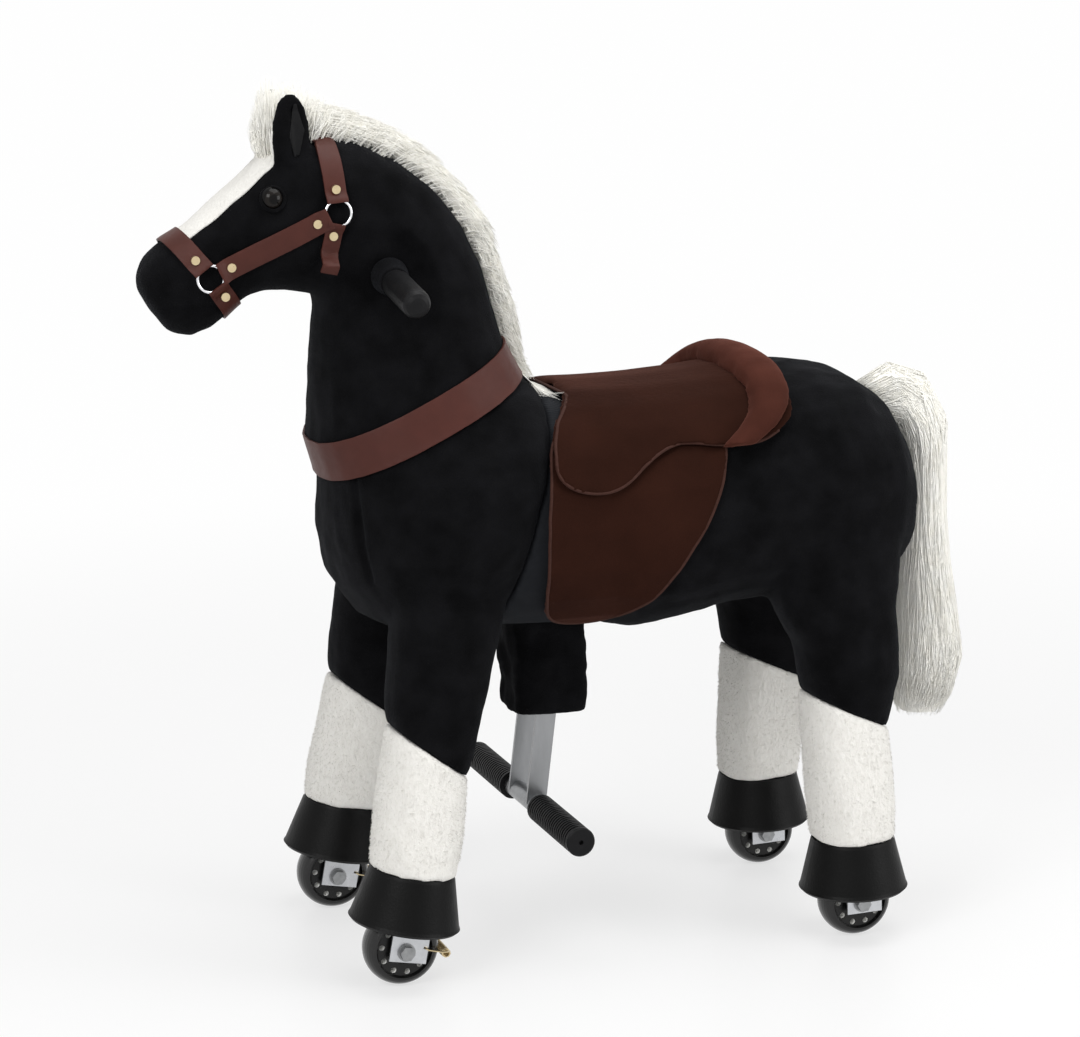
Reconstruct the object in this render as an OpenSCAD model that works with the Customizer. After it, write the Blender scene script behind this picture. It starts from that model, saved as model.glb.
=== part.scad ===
// Ride-on horse on wheels. Sitting and rising spreads and closes two hinged steel
// half-frames inside a plush cover, and one-way wheels turn that into forward motion.
// Frame: +X to the nose, +Y to the horse's left, +Z up, origin on the floor mid-length.

/* [Stance] */
// Front axle, ahead of the origin
front_axle_x = 234; // [224:1:244]
// Distance between the front and hind axles
wheelbase = 513; // [495:1:530]
// Distance between the left and right wheels
track = 272; // [266:1:278]
// Forward lean of the front legs, degrees
front_lean = 10; // [9:0.5:11]
// Rearward lean of the hind legs, degrees
hind_lean = 2; // [1:0.5:3]

/* [Wheels and forks] */
// Wheel diameter
wheel_d = 80; // [76:1:84]
// Tyre width
wheel_w = 36; // [32:1:38]
// Hub diameter
hub_d = 60; // [56:1:64]
// Windows in the hub
window_count = 10; // [6:1:12]
// Window diameter
window_d = 6; // [4:0.5:7]
// Bearing outside diameter
bearing_d = 22; // [20:1:26]
// Bearing width
bearing_w = 7; // [6:0.5:9]
// Axle bolt diameter
axle_d = 8; // [7:0.5:10]
// Clear width inside the fork
fork_gap = 42; // [41:0.5:44]
// Fork plate thickness
plate_t = 3; // [2.5:0.5:4]
// Fork plate width
plate_w = 40; // [36:1:44]
// Fork plate reach below the axle
plate_drop = 11; // [10:1:12]
// Gap from the tyre to the fork crown
crown_gap = 5; // [4:0.5:7]
// Fork crown thickness
crown_t = 4; // [3:0.5:5]
// Fork stem diameter
stem_d = 16; // [14:1:18]

/* [Steel frame] */
// Leg tube diameter
leg_tube_d = 28; // [26:1:30]
// Leg tube bottom above the axle, along the leg
leg_tube_start = 55; // [54:1:58]
// Front leg tube top above the axle, along the leg
front_tube_end = 400; // [390:1:404]
// Hinge ahead of the origin
hinge_x = 35; // [30:1:40]
// Gap from the seat board up to the cover
board_gap = 14; // [12:1:18]
// Hinge bolt diameter
hinge_bolt_d = 12; // [10:1:14]
// Hinge barrel diameter
hinge_barrel_d = 34; // [30:1:38]
// Hinge barrel length
hinge_barrel_l = 56; // [50:1:60]
// Main frame tube diameter
frame_tube_d = 22; // [20:1:24]
// Light brace and post diameter
brace_d = 16; // [14:1:18]
// Seat rail spacing, centre to centre
rail_w = 90; // [84:1:96]
// Seat rail length, from the hinge to the bend
rail_l = 184; // [176:1:190]
// Hip tube drop below the hinge
hip_drop = 45; // [40:1:50]
// Main spring drop below the hinge
spring_drop = 140; // [134:1:146]
// Seat board length
board_l = 148; // [130:1:149]
// Seat board width
board_w = 128; // [110:1:132]
// Seat board thickness
board_t = 10; // [8:1:12]

/* [Steering] */
// Column ahead of the line through the fork stems
column_offset = 44; // [40:1:46]
// Column top above the axle, along its axis
column_end = 702; // [696:1:706]
// Handle bar diameter
bar_d = 20; // [18:1:22]
// Handle bar ahead of the column
bar_reach = 59; // [56:1:62]
// Grip end, out from the middle
grip_end = 176; // [168:1:184]
// Grip diameter
grip_d = 30; // [28:1:32]
// Droop of each handle, degrees
grip_droop = 8; // [6:1:10]
// Pulley diameter
pulley_d = 32; // [30:1:33]
// Steering cable diameter
cable_d = 2.4; // [2:0.1:2.6]

/* [Pedals] */
// Pedal tube ahead of the origin
pedal_x = 50; // [46:1:54]
// Pedal tube height
pedal_z = 146; // [140:1:156]
// Pedal tube diameter
pedal_tube_d = 21; // [19:1:23]
// Foot grip diameter
foot_grip_d = 31; // [28:1:34]
// Foot bar length, end to end
foot_bar_l = 360; // [340:2:376]
// Foot grip length
foot_grip_l = 132; // [120:1:136]
// Strut bar width
strut_w = 22; // [18:1:26]
// Strut bar thickness
strut_t = 4; // [3:0.5:5]
// Boot length along the horse
boot_l = 80; // [74:1:84]
// Boot width across the horse
boot_w = 82; // [78:1:88]
// Boot bottom height
boot_z = 246; // [240:1:256]

/* [Plush body] */
// Chest length
chest_l = 230; // [226:1:234]
// Chest height
chest_h = 300; // [297:1:303]
// Chest width
chest_w = 348; // [346:1:356]
// Barrel and rump length
barrel_l = 402; // [398:1:406]
// Barrel and rump height
barrel_h = 270; // [267:1:273]
// Barrel and rump width
barrel_w = 330; // [328:1:336]
// Belly height above the floor
belly_z = 345; // [342:1:347]
// Chest rear edge on top, ahead of the origin
chest_x = 52; // [50:1:56]
// Barrel front edge on top, ahead of the origin
barrel_x = 25; // [21:1:27]
// Plush wall thickness
plush_t = 10; // [8:0.5:11]
// Neck run, withers to throat
neck_l = 218; // [215:1:222]
// Neck rise above the chest
neck_h = 350; // [346:1:354]
// Head length
head_l = 232; // [225:1:240]
// Head height
head_h = 204; // [198:1:210]
// Head width
head_w = 124; // [120:1:128]

/* [Legs] */
// Sock radius
sock_r = 45.5; // [45:0.5:47]
// Front hoof top above the axle
front_hoof_top = 82; // [78:1:86]
// Hind hoof top above the axle
hind_hoof_top = 70; // [68:1:74]
// Hoof height
hoof_h = 58; // [54:1:59]
// Hoof top radius
hoof_top_r = 44; // [43:0.5:46]
// Hoof bottom radius
hoof_rim_r = 56; // [55:0.5:58]
// Hoof wall thickness
hoof_t = 4; // [3:0.5:5]

/* [Hair and ears] */
// Mane width
mane_w = 40; // [34:1:42]
// Mane run, withers to forelock
mane_l = 308; // [304:1:312]
// Mane rise
mane_h = 320; // [316:1:324]
// Tail reach behind the rump
tail_l = 146; // [142:1:150]
// Tail height
tail_h = 410; // [400:1:420]
// Tail width
tail_w = 66; // [58:1:74]
// Ear length along the head
ear_l = 42; // [38:1:46]
// Ear height
ear_h = 72; // [68:1:74]
// Ear thickness
ear_w = 22; // [18:1:26]
// Eye diameter
eye_d = 26; // [24:1:28]

/* [Saddle] */
// Flap thickness
flap_t = 5; // [4:0.5:6]
// Seat pad thickness
seat_t = 8; // [6:0.5:10]
// Cantle roll thickness
cantle_d = 44; // [38:1:50]
// Cantle roll breadth along the horse
cantle_l = 60; // [54:1:66]

/* [Tack] */
// Strap thickness
strap_t = 2.5; // [2:0.5:3]
// Bridle strap width
strap_w = 22; // [18:1:24]
// Breast collar width
collar_w = 40; // [34:1:44]
// Bridle ring outside diameter
ring_d = 30; // [26:1:32]
// Bridle ring wire diameter
ring_wire_d = 3; // [2.5:0.5:3.5]
// Rivet diameter
rivet_d = 9; // [8:0.5:10]

/* [Springs] */
// Drag spring wire diameter
drag_wire_d = 2; // [1.6:0.1:2.2]
// Drag spring coil diameter, at the wire's middle
drag_coil_d = 8; // [7:0.5:9]
// Drag spring curls
drag_curls = 11; // [8:1:12]
// Main spring wire diameter
main_wire_d = 4; // [3:0.5:4.5]
// Main spring coil diameter, at the wire's middle
main_coil_d = 28; // [24:1:30]
// Main spring curls
main_curls = 14; // [10:1:16]

/* [Hidden] */
$fn = 48;

// Clearances: soft faces that face each other, sliding shafts, and the overrun of cuts
soft_gap = 0.3;
fit = 0.05;
run_gap = 0.3;
overrun = 20;

// Colours
plush_black = [0.05, 0.05, 0.06];
hair_white = [0.93, 0.9, 0.85];
sock_white = [0.95, 0.93, 0.9];
leather = [0.33, 0.12, 0.09];
suede = [0.25, 0.09, 0.07];
steel = [0.72, 0.73, 0.75];
black_paint = [0.12, 0.12, 0.13];
brass = [0.72, 0.6, 0.35];
rubber = [0.06, 0.06, 0.06];

// Sides of a body ring and of a limb ring, and how square the rings are (1 is an ellipse)
body_sides = 24;
limb_sides = 20;
hair_sides = 12;
square_share = 0.84;

// Axle places
hind_axle_x = front_axle_x - wheelbase;
axle_z = wheel_d / 2;
wheel_y = track / 2;

// Points in the middle plane are [x, z]; these follow the two leg axes
front_up = [-sin(front_lean), cos(front_lean)];
front_ahead = [cos(front_lean), sin(front_lean)];
hind_up = [sin(hind_lean), cos(hind_lean)];
function front_leg_at(s) = [front_axle_x, axle_z] + s * front_up;
function hind_leg_at(s) = [hind_axle_x, axle_z] + s * hind_up;
function column_at(s) = front_leg_at(s) + column_offset * front_ahead;
function side_point(p, y) = [p[0], y, p[1]];
function blend(a, b, share) = a + share * (b - a);

// Puts a part that is drawn round the axle, with the leg along +Z, at its wheel
module front_corner(side) {
  translate([front_axle_x, side * wheel_y, axle_z]) rotate([0, -front_lean, 0]) children();
}
module hind_corner(side) {
  translate([hind_axle_x, side * wheel_y, axle_z]) rotate([0, hind_lean, 0]) children();
}
module column_frame() {
  translate(side_point(column_at(0), 0)) rotate([0, -front_lean, 0]) children();
}
module both_sides() {
  children();
  mirror([0, 1, 0]) children();
}

// A round bar from point a to point b
module rod(a, b, d) {
  run = b - a;
  translate(a) rotate([0, acos(run[2] / norm(run)), atan2(run[1], run[0])]) cylinder(h = norm(run), d = d);
}

// Lofts. A section is [low point, high point, half width, y of its middle]: a squared oval
// that stands on the line between its two points. Tables hold the points and the width as
// shares of a piece's length, height and width.
function sections(table, corner, size) = [
  for (row = table) [
    corner + [row[0] * size[0], row[1] * size[1]],
    corner + [row[2] * size[0], row[3] * size[1]],
    row[4] * size[2] / 2,
    0
  ]
];
function shifted(rows, y) = [for (s = rows) [s[0], s[1], s[2], y]];
function swell(v) = sign(v) * pow(abs(v), square_share);
function middle(s) = (s[0] + s[1]) / 2;
function ring_point(s, grow, turn) =
  let (arm = (s[1] - s[0]) / 2)
  let (out = arm * (1 + grow / norm(arm)) * swell(cos(turn)))
  let (mid = middle(s))
  [mid[0] + out[0], s[3] + (s[2] + grow) * swell(sin(turn)), mid[1] + out[1]];
function ring(s, grow, sides) = [for (k = [0 : sides - 1]) ring_point(s, grow, 360 * k / sides)];
function flat_list(lists) = [for (list = lists) each list];
function backwards(list) = [for (i = [len(list) - 1 : -1 : 0]) list[i]];
function heading(rows) =
  let (arm = rows[0][1] - rows[0][0], step = middle(rows[1]) - middle(rows[0]))
  arm[0] * step[1] - arm[1] * step[0];
function in_order(rows) = heading(rows) > 0 ? rows : backwards(rows);
function skin(first, rings, sides) = [
  for (i = [0 : rings - 2], k = [0 : sides - 1])
    let (a = first + i * sides + k, b = first + i * sides + (k + 1) % sides)
    each [[a, a + sides, b + sides], [a, b + sides, b]]
];
function fan(first, sides) = [for (k = [1 : sides - 2]) [first, first + k, first + k + 1]];
function band(outer, inner, sides) = [
  for (k = [0 : sides - 1])
    let (n = (k + 1) % sides)
    each [[outer + k, outer + n, inner + n], [outer + k, inner + n, inner + k]]
];
function turned(faces) = [for (f = faces) backwards(f)];

// A solid through the sections, grown outwards
module loft(rows, grow = 0, sides = body_sides) {
  path = in_order(rows);
  last = (len(path) - 1) * sides;
  polyhedron(
    points = flat_list([for (s = path) ring(s, grow, sides)]),
    faces = concat(skin(0, len(path), sides), fan(0, sides), turned(fan(last, sides)))
  );
}

// A wall between two growths, open at both ends, or closed at the last end
module shell(rows, outer, inner, closed = false, sides = body_sides) {
  path = in_order(rows);
  hollow = closed ? [for (i = [0 : len(path) - 2]) path[i]] : path;
  inside = len(path) * sides;
  outer_last = inside - sides;
  inner_last = inside + (len(hollow) - 1) * sides;
  ends = closed
    ? concat(turned(fan(outer_last, sides)), fan(inner_last, sides))
    : turned(band(outer_last, inner_last, sides));
  polyhedron(
    points = flat_list(concat(
      [for (s = path) ring(s, outer, sides)],
      [for (s = hollow) ring(s, inner, sides)]
    )),
    faces = concat(
      skin(0, len(path), sides),
      turned(skin(inside, len(hollow), sides)),
      band(0, inside, sides),
      ends
    )
  );
}

// A tube along points, with its rings carried along without twist
function tangent(p, i) = let (d = p[min(i + 1, len(p) - 1)] - p[max(i - 1, 0)]) d / norm(d);
function squared(v, t) = let (w = v - (v * t) * t) w / norm(w);
module tube(p, d, sides, first_side) {
  carried = [
    for (i = 0, n = squared(first_side, tangent(p, 0)); i < len(p);
         i = i + 1, n = squared(n, tangent(p, min(i, len(p) - 1)))) n
  ];
  rings = [
    for (i = [0 : len(p) - 1], k = [0 : sides - 1])
      let (side = carried[i], over = cross(tangent(p, i), carried[i]), turn = 360 * k / sides)
      p[i] + d / 2 * (cos(turn) * side + sin(turn) * over)
  ];
  last = (len(p) - 1) * sides;
  polyhedron(
    points = rings,
    faces = concat(turned(skin(0, len(p), sides)), turned(fan(0, sides)), fan(last, sides))
  );
}
// Least gap of a tube to itself, past the points that are its own neighbours
function least_gap(p, d, apart) =
  min([for (i = [0 : len(p) - 1 - apart], j = [i + apart : len(p) - 1]) norm(p[i] - p[j])]) - d;

// Chest: from the stretch panel round to the foot of the neck
chest_shares = [
  [0.31, 0.02, 0, 0.86, 0.86],
  [0.46, 0, 0.01, 0.87, 0.93],
  [0.64, 0.01, 0.02, 0.88, 0.99],
  [0.81, 0.07, 0.03, 0.885, 1],
  [0.92, 0.19, 0.04, 0.89, 0.92],
  [0.97, 0.36, 0.05, 0.9, 0.78],
  [0.97, 0.56, 0.06, 0.91, 0.64]
];
chest_rows = sections(chest_shares, [chest_x, belly_z], [chest_l, chest_h, chest_w]);
neck_foot = chest_rows[len(chest_rows) - 1];

// Neck: from the foot up round the throat to the head; widths are shares of its foot's width
neck_shares = [
  [1.02, 0.12, 0.08, 0.395, 0.91],
  [1.015, 0.265, 0.13, 0.505, 0.79],
  [1, 0.395, 0.18, 0.62, 0.7],
  [0.99, 0.485, 0.26, 0.735, 0.64],
  [0.985, 0.53, 0.4, 0.85, 0.6],
  [0.985, 0.55, 0.585, 0.945, 0.56],
  [0.995, 0.555, 0.78, 1, 0.545]
];
neck_corner = [neck_foot[1][0], neck_foot[0][1]];
neck_rows = concat([neck_foot], sections(neck_shares, neck_corner, [neck_l, neck_h, 2 * neck_foot[2]]));
neck_top = neck_rows[len(neck_rows) - 1];

// Head: from the neck's top to the muzzle
head_shares = [
  [0.27, 0.21, 0.15, 0.995, 1],
  [0.36, 0.225, 0.29, 0.97, 1],
  [0.45, 0.225, 0.43, 0.9, 0.92],
  [0.525, 0.2, 0.55, 0.775, 0.82],
  [0.58, 0.15, 0.68, 0.65, 0.76],
  [0.625, 0.1, 0.8, 0.545, 0.73],
  [0.685, 0.045, 0.89, 0.49, 0.71],
  [0.77, 0.01, 0.96, 0.41, 0.65],
  [0.855, 0.035, 0.995, 0.335, 0.5],
  [0.915, 0.11, 0.995, 0.255, 0.27]
];
head_low_share = 0.96;
head_corner = [neck_top[1][0], neck_top[1][1] - head_low_share * head_h];
head_rows = concat([neck_top], sections(head_shares, head_corner, [head_l, head_h, head_w]));

// Barrel and rump, from the front edge back; the saddle's form runs on ahead of it
barrel_shares = [
  [0.906, -0.005, 1, 0.915, 0.93],
  [0.812, -0.03, 0.885, 0.91, 0.955],
  [0.687, 0, 0.75, 0.915, 0.97],
  [0.562, 0.04, 0.604, 0.93, 0.98],
  [0.437, 0.06, 0.453, 0.955, 0.99],
  [0.33, 0.08, 0.315, 0.99, 1],
  [0.215, 0.08, 0.2, 0.965, 0.955],
  [0.125, 0.095, 0.11, 0.88, 0.86],
  [0.055, 0.15, 0.05, 0.745, 0.685],
  [0.015, 0.25, 0.01, 0.58, 0.43],
  [0.002, 0.335, 0, 0.475, 0.2]
];
saddle_front_shares = [[1.18, -0.005, 1.1, 0.94, 0.965]];
barrel_corner = [barrel_x - barrel_l, belly_z];
barrel_size = [barrel_l, barrel_h, barrel_w];
barrel_rows = sections(barrel_shares, barrel_corner, barrel_size);
saddle_rows = sections(concat(saddle_front_shares, barrel_shares), barrel_corner, barrel_size);

module chest_form(grow) {
  loft(chest_rows, grow);
}
module neck_form(grow) {
  loft(neck_rows, grow);
}
module head_form(grow) {
  loft(head_rows, grow);
}
module barrel_form(grow) {
  loft(barrel_rows, grow);
}

// Corner parts, drawn round the axle with the leg along +Z
crown_z = wheel_d / 2 + crown_gap;
crown_top = crown_z + crown_t;
plate_setback = 3;
spring_hole_back = 19;
spring_hole_up = 6;
spring_hole_d = drag_wire_d + 2 * run_gap;
hind_stem_l = 40;
thrust_collar_d = 24;
pulley_h = 6;
pulley_wall = 1.4;
groove_r = pulley_d / 2 - cable_d - 2 * fit;
// The left cable runs one pulley above the right one
pulley_gap = 4;
cable_levels = [front_tube_end + pulley_gap + 1.5 * pulley_h, front_tube_end + pulley_gap + pulley_h / 2];
fork_top = [cable_levels[0] + pulley_h / 2, cable_levels[1] + pulley_h / 2];

module along_y(length, d) {
  rotate([90, 0, 0]) cylinder(h = length, d = d, center = true);
}
module pulley(d) {
  rotate_extrude() polygon([
    [0, -pulley_h / 2],
    [d / 2, -pulley_h / 2],
    [d / 2, pulley_wall - pulley_h / 2],
    [groove_r, pulley_wall - pulley_h / 2],
    [groove_r, pulley_h / 2 - pulley_wall],
    [d / 2, pulley_h / 2 - pulley_wall],
    [d / 2, pulley_h / 2],
    [0, pulley_h / 2]
  ]);
}
module fork_yoke(stem_end) {
  difference() {
    union() {
      both_sides() translate([-plate_setback - plate_w / 2, fork_gap / 2, -plate_drop])
        cube([plate_w, plate_t, plate_drop + crown_top]);
      translate([-plate_setback - plate_w / 2, -fork_gap / 2, crown_z])
        cube([plate_w, fork_gap, crown_t]);
      translate([0, 0, crown_top]) cylinder(h = leg_tube_start - run_gap - crown_top, d = thrust_collar_d);
      translate([0, 0, crown_top]) cylinder(h = stem_end - crown_top, d = stem_d);
    }
    along_y(fork_gap + 2 * plate_t + overrun, axle_d + 2 * fit);
    translate([-spring_hole_back, 0, spring_hole_up])
      along_y(fork_gap + 2 * plate_t + overrun, spring_hole_d);
  }
}
module front_fork(index) {
  fork_yoke(fork_top[index]);
  translate([0, 0, cable_levels[index]]) pulley(pulley_d);
}
spacer_d = 13;
head_d = 16;
head_t = 5.5;
washer_d = 19;
washer_t = 1.6;
module axle_bolt() {
  outer = fork_gap / 2 + plate_t;
  along_y(2 * outer, axle_d);
  both_sides() {
    translate([0, (fork_gap + wheel_w) / 4 + run_gap / 2, 0])
      along_y((fork_gap - wheel_w) / 2 - run_gap, spacer_d);
    translate([0, outer + washer_t / 2, 0]) along_y(washer_t, washer_d);
    translate([0, outer + washer_t + head_t / 2, 0])
      rotate([90, 0, 0]) cylinder(h = head_t, d = head_d, center = true, $fn = 6);
  }
}

// Wheels, drawn on their axle along Y
tyre_round_steps = 12;
tread_r = wheel_d / 2;
hub_r = hub_d / 2;
window_ring_share = 0.8;
bearing_lip = 2;
module tyre_form() {
  rotate([90, 0, 0]) rotate_extrude() polygon([
    for (i = [0 : tyre_round_steps])
      let (turn = 180 * i / tyre_round_steps - 90)
      [hub_r + (tread_r - hub_r) * cos(turn), wheel_w / 2 * sin(turn)]
  ]);
}
module hub_form() {
  seat_r = bearing_d / 2;
  half = wheel_w / 2;
  dish = half - bearing_w / 2;
  rotate([90, 0, 0]) difference() {
    rotate_extrude() polygon([
      [seat_r - bearing_lip, bearing_w - half],
      [seat_r, bearing_w - half],
      [seat_r, -half],
      [seat_r + bearing_lip, -half],
      [seat_r + 2 * bearing_lip, -dish],
      [hub_r - bearing_lip, -dish],
      [hub_r, -half],
      [hub_r, half],
      [hub_r - bearing_lip, dish],
      [seat_r + 2 * bearing_lip, dish],
      [seat_r + bearing_lip, half],
      [seat_r, half],
      [seat_r, half - bearing_w],
      [seat_r - bearing_lip, half - bearing_w]
    ]);
    for (k = [0 : window_count - 1])
      rotate([0, 0, 360 * k / window_count]) translate([window_ring_share * hub_r, 0, 0])
        cylinder(h = wheel_w + overrun, d = window_d, center = true);
  }
}
module bearing_pair() {
  both_sides() translate([0, (wheel_w - bearing_w) / 2, 0]) rotate([90, 0, 0]) difference() {
    cylinder(h = bearing_w, d = bearing_d, center = true);
    cylinder(h = bearing_w + overrun, d = axle_d + 2 * fit, center = true);
  }
}

// Hoof: a rubber cup with a rolled rim that hangs on the leg tube
hoof_roll = 3;
hoof_top_t = 6;
module hoof(top) {
  rotate_extrude() polygon([
    [leg_tube_d / 2 + fit, top - hoof_top_t],
    [hoof_top_r - hoof_t, top - hoof_top_t],
    [hoof_rim_r - hoof_t, top - hoof_h + hoof_roll],
    [hoof_rim_r - hoof_t, top - hoof_h],
    [hoof_rim_r, top - hoof_h],
    [hoof_rim_r + hoof_roll, top - hoof_h + hoof_roll],
    [hoof_rim_r + hoof_roll / 2, top - hoof_h + 2 * hoof_roll],
    [hoof_top_r + hoof_roll / 2, top - hoof_roll],
    [hoof_top_r, top],
    [leg_tube_d / 2 + fit, top]
  ]);
}

// Leg covers, in the corner's own plane. A row is [back reach, front reach, back height, front
// height, half width, inward shift], as shares of the sock's radius and of the cover's height.
front_slant_z = 182;
hind_slant_z = 185;
slant_rise = 46;
front_cover_top = 420;
hind_cover_top = 470;
sock_shares = [
  [0.97, 0.97, 0, 0, 0.97, 0],
  [1.02, 1.02, 0.3, 0.26, 1.02, 0.12],
  [1.03, 1.02, 0.7, 0.68, 1.02, 0.31],
  [1, 1, 1, 1, 1, 0.44]
];
front_cover_shares = [
  [1, 1, 0, 0, 1, 0.44],
  [1.1, 1.1, 0.12, 0.11, 1.07, 0.5],
  [1.22, 1.19, 0.46, 0.42, 1.13, 0.62],
  [1.33, 1.28, 0.73, 0.69, 1.12, 0.66],
  [1.25, 1.19, 1, 1, 0.72, 0.8]
];
hind_cover_shares = [
  [1, 1, 0, 0, 1, 0.44],
  [1.36, 1.15, 0.2, 0.22, 1.12, 0.5],
  [1.32, 1.65, 0.47, 0.4, 1.2, 0.56],
  [1.55, 1.95, 0.72, 0.69, 1.12, 0.6],
  [1.5, 1.75, 1, 1, 0.62, 0.85]
];
function cover_rows(table, back_low, front_low, back_high, front_high) = [
  for (row = table) [
    [-row[0] * sock_r, blend(back_low, back_high, row[2])],
    [row[1] * sock_r, blend(front_low, front_high, row[3])],
    row[4] * sock_r,
    -row[5] * sock_r
  ]
];
function sock_rows(top, slant) =
  cover_rows(sock_shares, top + soft_gap, top + soft_gap, slant, slant + slant_rise);
function leg_rows(table, slant, top) =
  cover_rows(table, slant + soft_gap, slant + slant_rise + soft_gap, top, top);
module leg_cover(rows) {
  difference() {
    loft(rows, 0, limb_sides);
    cylinder(h = front_cover_top + hind_cover_top, d = leg_tube_d + 2 * soft_gap);
  }
}

// Hinge, spring and strut places in the middle plane
saddle_dip_share = 0.91;
board_bottom = belly_z + saddle_dip_share * barrel_h - plush_t - board_gap - board_t;
hinge_z = board_bottom - fit - frame_tube_d / 2;
hip_z = hinge_z - hip_drop;
spring_z = hinge_z - spring_drop;
hinge = [hinge_x, hinge_z];
rail_bend = [hinge_x - rail_l, hinge_z];
cross_level = front_tube_end - frame_tube_d - brace_d / 8;
shoulder = front_leg_at(cross_level);
strut_lean = 6.6;
strut_up = [-sin(strut_lean), cos(strut_lean)];
strut_y = 28;
function strut_at(z) = [pedal_x, pedal_z] + (z - pedal_z) / cos(strut_lean) * strut_up;
pedal_knee = strut_at(spring_z);
hip = hind_leg_at((hip_z - axle_z) / cos(hind_lean));
tube_wall = 4;
bush_l = 16;
anchor_d = brace_d + tube_wall;
hip_tube_d = frame_tube_d + tube_wall / 2;
tube_inset = leg_tube_d / 2 - tube_wall / 2;
head_tube_l = 170;
head_tube_start = front_tube_end + 2 * pulley_gap + 2 * pulley_h;
head_tube_end = head_tube_start + head_tube_l;
post_foot_share = 0.45;
post_foot = blend(shoulder, hinge, post_foot_share);
post_inset = 12;
post_dip = 22;
post_bend = neck_rows[4][1] + [post_inset, -post_dip];
post_top = middle(head_rows[2]);
brace_share = 0.35;

// A bored tube: sliding bushes at its ends, relieved between them
module tube_bore(from, to) {
  translate([0, 0, from - overrun]) cylinder(h = to - from + 2 * overrun, d = stem_d + 2 * fit);
  translate([0, 0, from + bush_l]) cylinder(h = to - from - 2 * bush_l, d = leg_tube_d - 2 * tube_wall);
}
module elbow(p, d) {
  translate(p) sphere(d = d + tube_wall / 2);
}

module front_frame() {
  head_tube_mid = column_at((head_tube_start + head_tube_end) / 2);
  color(black_paint) difference() {
    union() {
      for (side = [-1, 1]) front_corner(side) translate([0, 0, leg_tube_start])
        cylinder(h = front_tube_end - leg_tube_start, d = leg_tube_d);
      rod(side_point(shoulder, tube_inset - wheel_y), side_point(shoulder, wheel_y - tube_inset), frame_tube_d);
      rod(side_point(shoulder, 0), side_point(hinge, 0), frame_tube_d);
      rod(side_point(hinge, 0), side_point(pedal_knee, 0), brace_d);
      rod(side_point(shoulder, 0), side_point(pedal_knee, 0), brace_d);
      rod(side_point(pedal_knee, -strut_y), side_point(pedal_knee, strut_y), brace_d);
      column_frame() translate([0, 0, head_tube_start])
        cylinder(h = head_tube_end - head_tube_start, d = leg_tube_d);
      rod(side_point(head_tube_mid - tube_inset * front_ahead, 0),
          side_point(blend(shoulder, hinge, brace_share), 0), brace_d);
      rod(side_point(post_foot, 0), side_point(post_bend, 0), brace_d);
      elbow(side_point(post_bend, 0), brace_d);
      rod(side_point(post_bend, 0), side_point(post_top, 0), brace_d);
      translate(side_point(hinge, 0)) along_y(hinge_barrel_l, hinge_barrel_d);
    }
    for (side = [-1, 1]) front_corner(side) tube_bore(leg_tube_start, front_tube_end);
    column_frame() tube_bore(head_tube_start, head_tube_end);
    translate(side_point(hinge, 0)) along_y(hinge_barrel_l + overrun, hinge_bolt_d + 2 * fit);
  }
}
eye_inner = hinge_barrel_l / 2 + run_gap;
eye_outer = (rail_w + frame_tube_d) / 2;
hind_tube_end = (hip_z - axle_z) / cos(hind_lean) + frame_tube_d / 2;
anchor_spread = 12;
module rear_frame() {
  rail_y = rail_w / 2;
  color(black_paint) difference() {
    union() {
      both_sides() {
        rod(side_point(hinge, rail_y), side_point(rail_bend, rail_y), frame_tube_d);
        elbow(side_point(rail_bend, rail_y), frame_tube_d);
        rod(side_point(rail_bend, rail_y), side_point(hip, rail_y), frame_tube_d);
        rod(side_point(rail_bend, rail_y), side_point([rail_bend[0], spring_z], anchor_spread), brace_d);
        translate(side_point(hinge, (eye_inner + eye_outer) / 2))
          along_y(eye_outer - eye_inner, hinge_barrel_d);
        hind_corner(1) translate([0, 0, leg_tube_start])
          cylinder(h = hind_tube_end - leg_tube_start, d = leg_tube_d);
      }
      rod(side_point(hip, tube_inset - wheel_y), side_point(hip, wheel_y - tube_inset), hip_tube_d);
      translate([rail_bend[0], 0, spring_z]) along_y(2 * anchor_spread + brace_d, anchor_d);
    }
    both_sides() hind_corner(1) translate([0, 0, leg_tube_start - overrun])
      cylinder(h = hind_stem_l + overrun, d = stem_d + 2 * fit);
    translate(side_point(hinge, 0)) along_y(rail_w + 2 * hinge_barrel_d, hinge_bolt_d + 2 * fit);
  }
}
module hinge_bolt() {
  color(steel) translate(side_point(hinge, 0)) {
    along_y(2 * (eye_outer + head_t), hinge_bolt_d);
    both_sides() translate([0, eye_outer + head_t / 2, 0])
      rotate([90, 0, 0]) cylinder(h = head_t, d = hinge_bolt_d + head_t * 1.4, center = true, $fn = 6);
  }
}
board_setback = 21;
module seat_board() {
  color([0.72, 0.58, 0.4])
    translate([hinge_x - board_setback - board_l, -board_w / 2, board_bottom])
    cube([board_l, board_w, board_t]);
}

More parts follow.
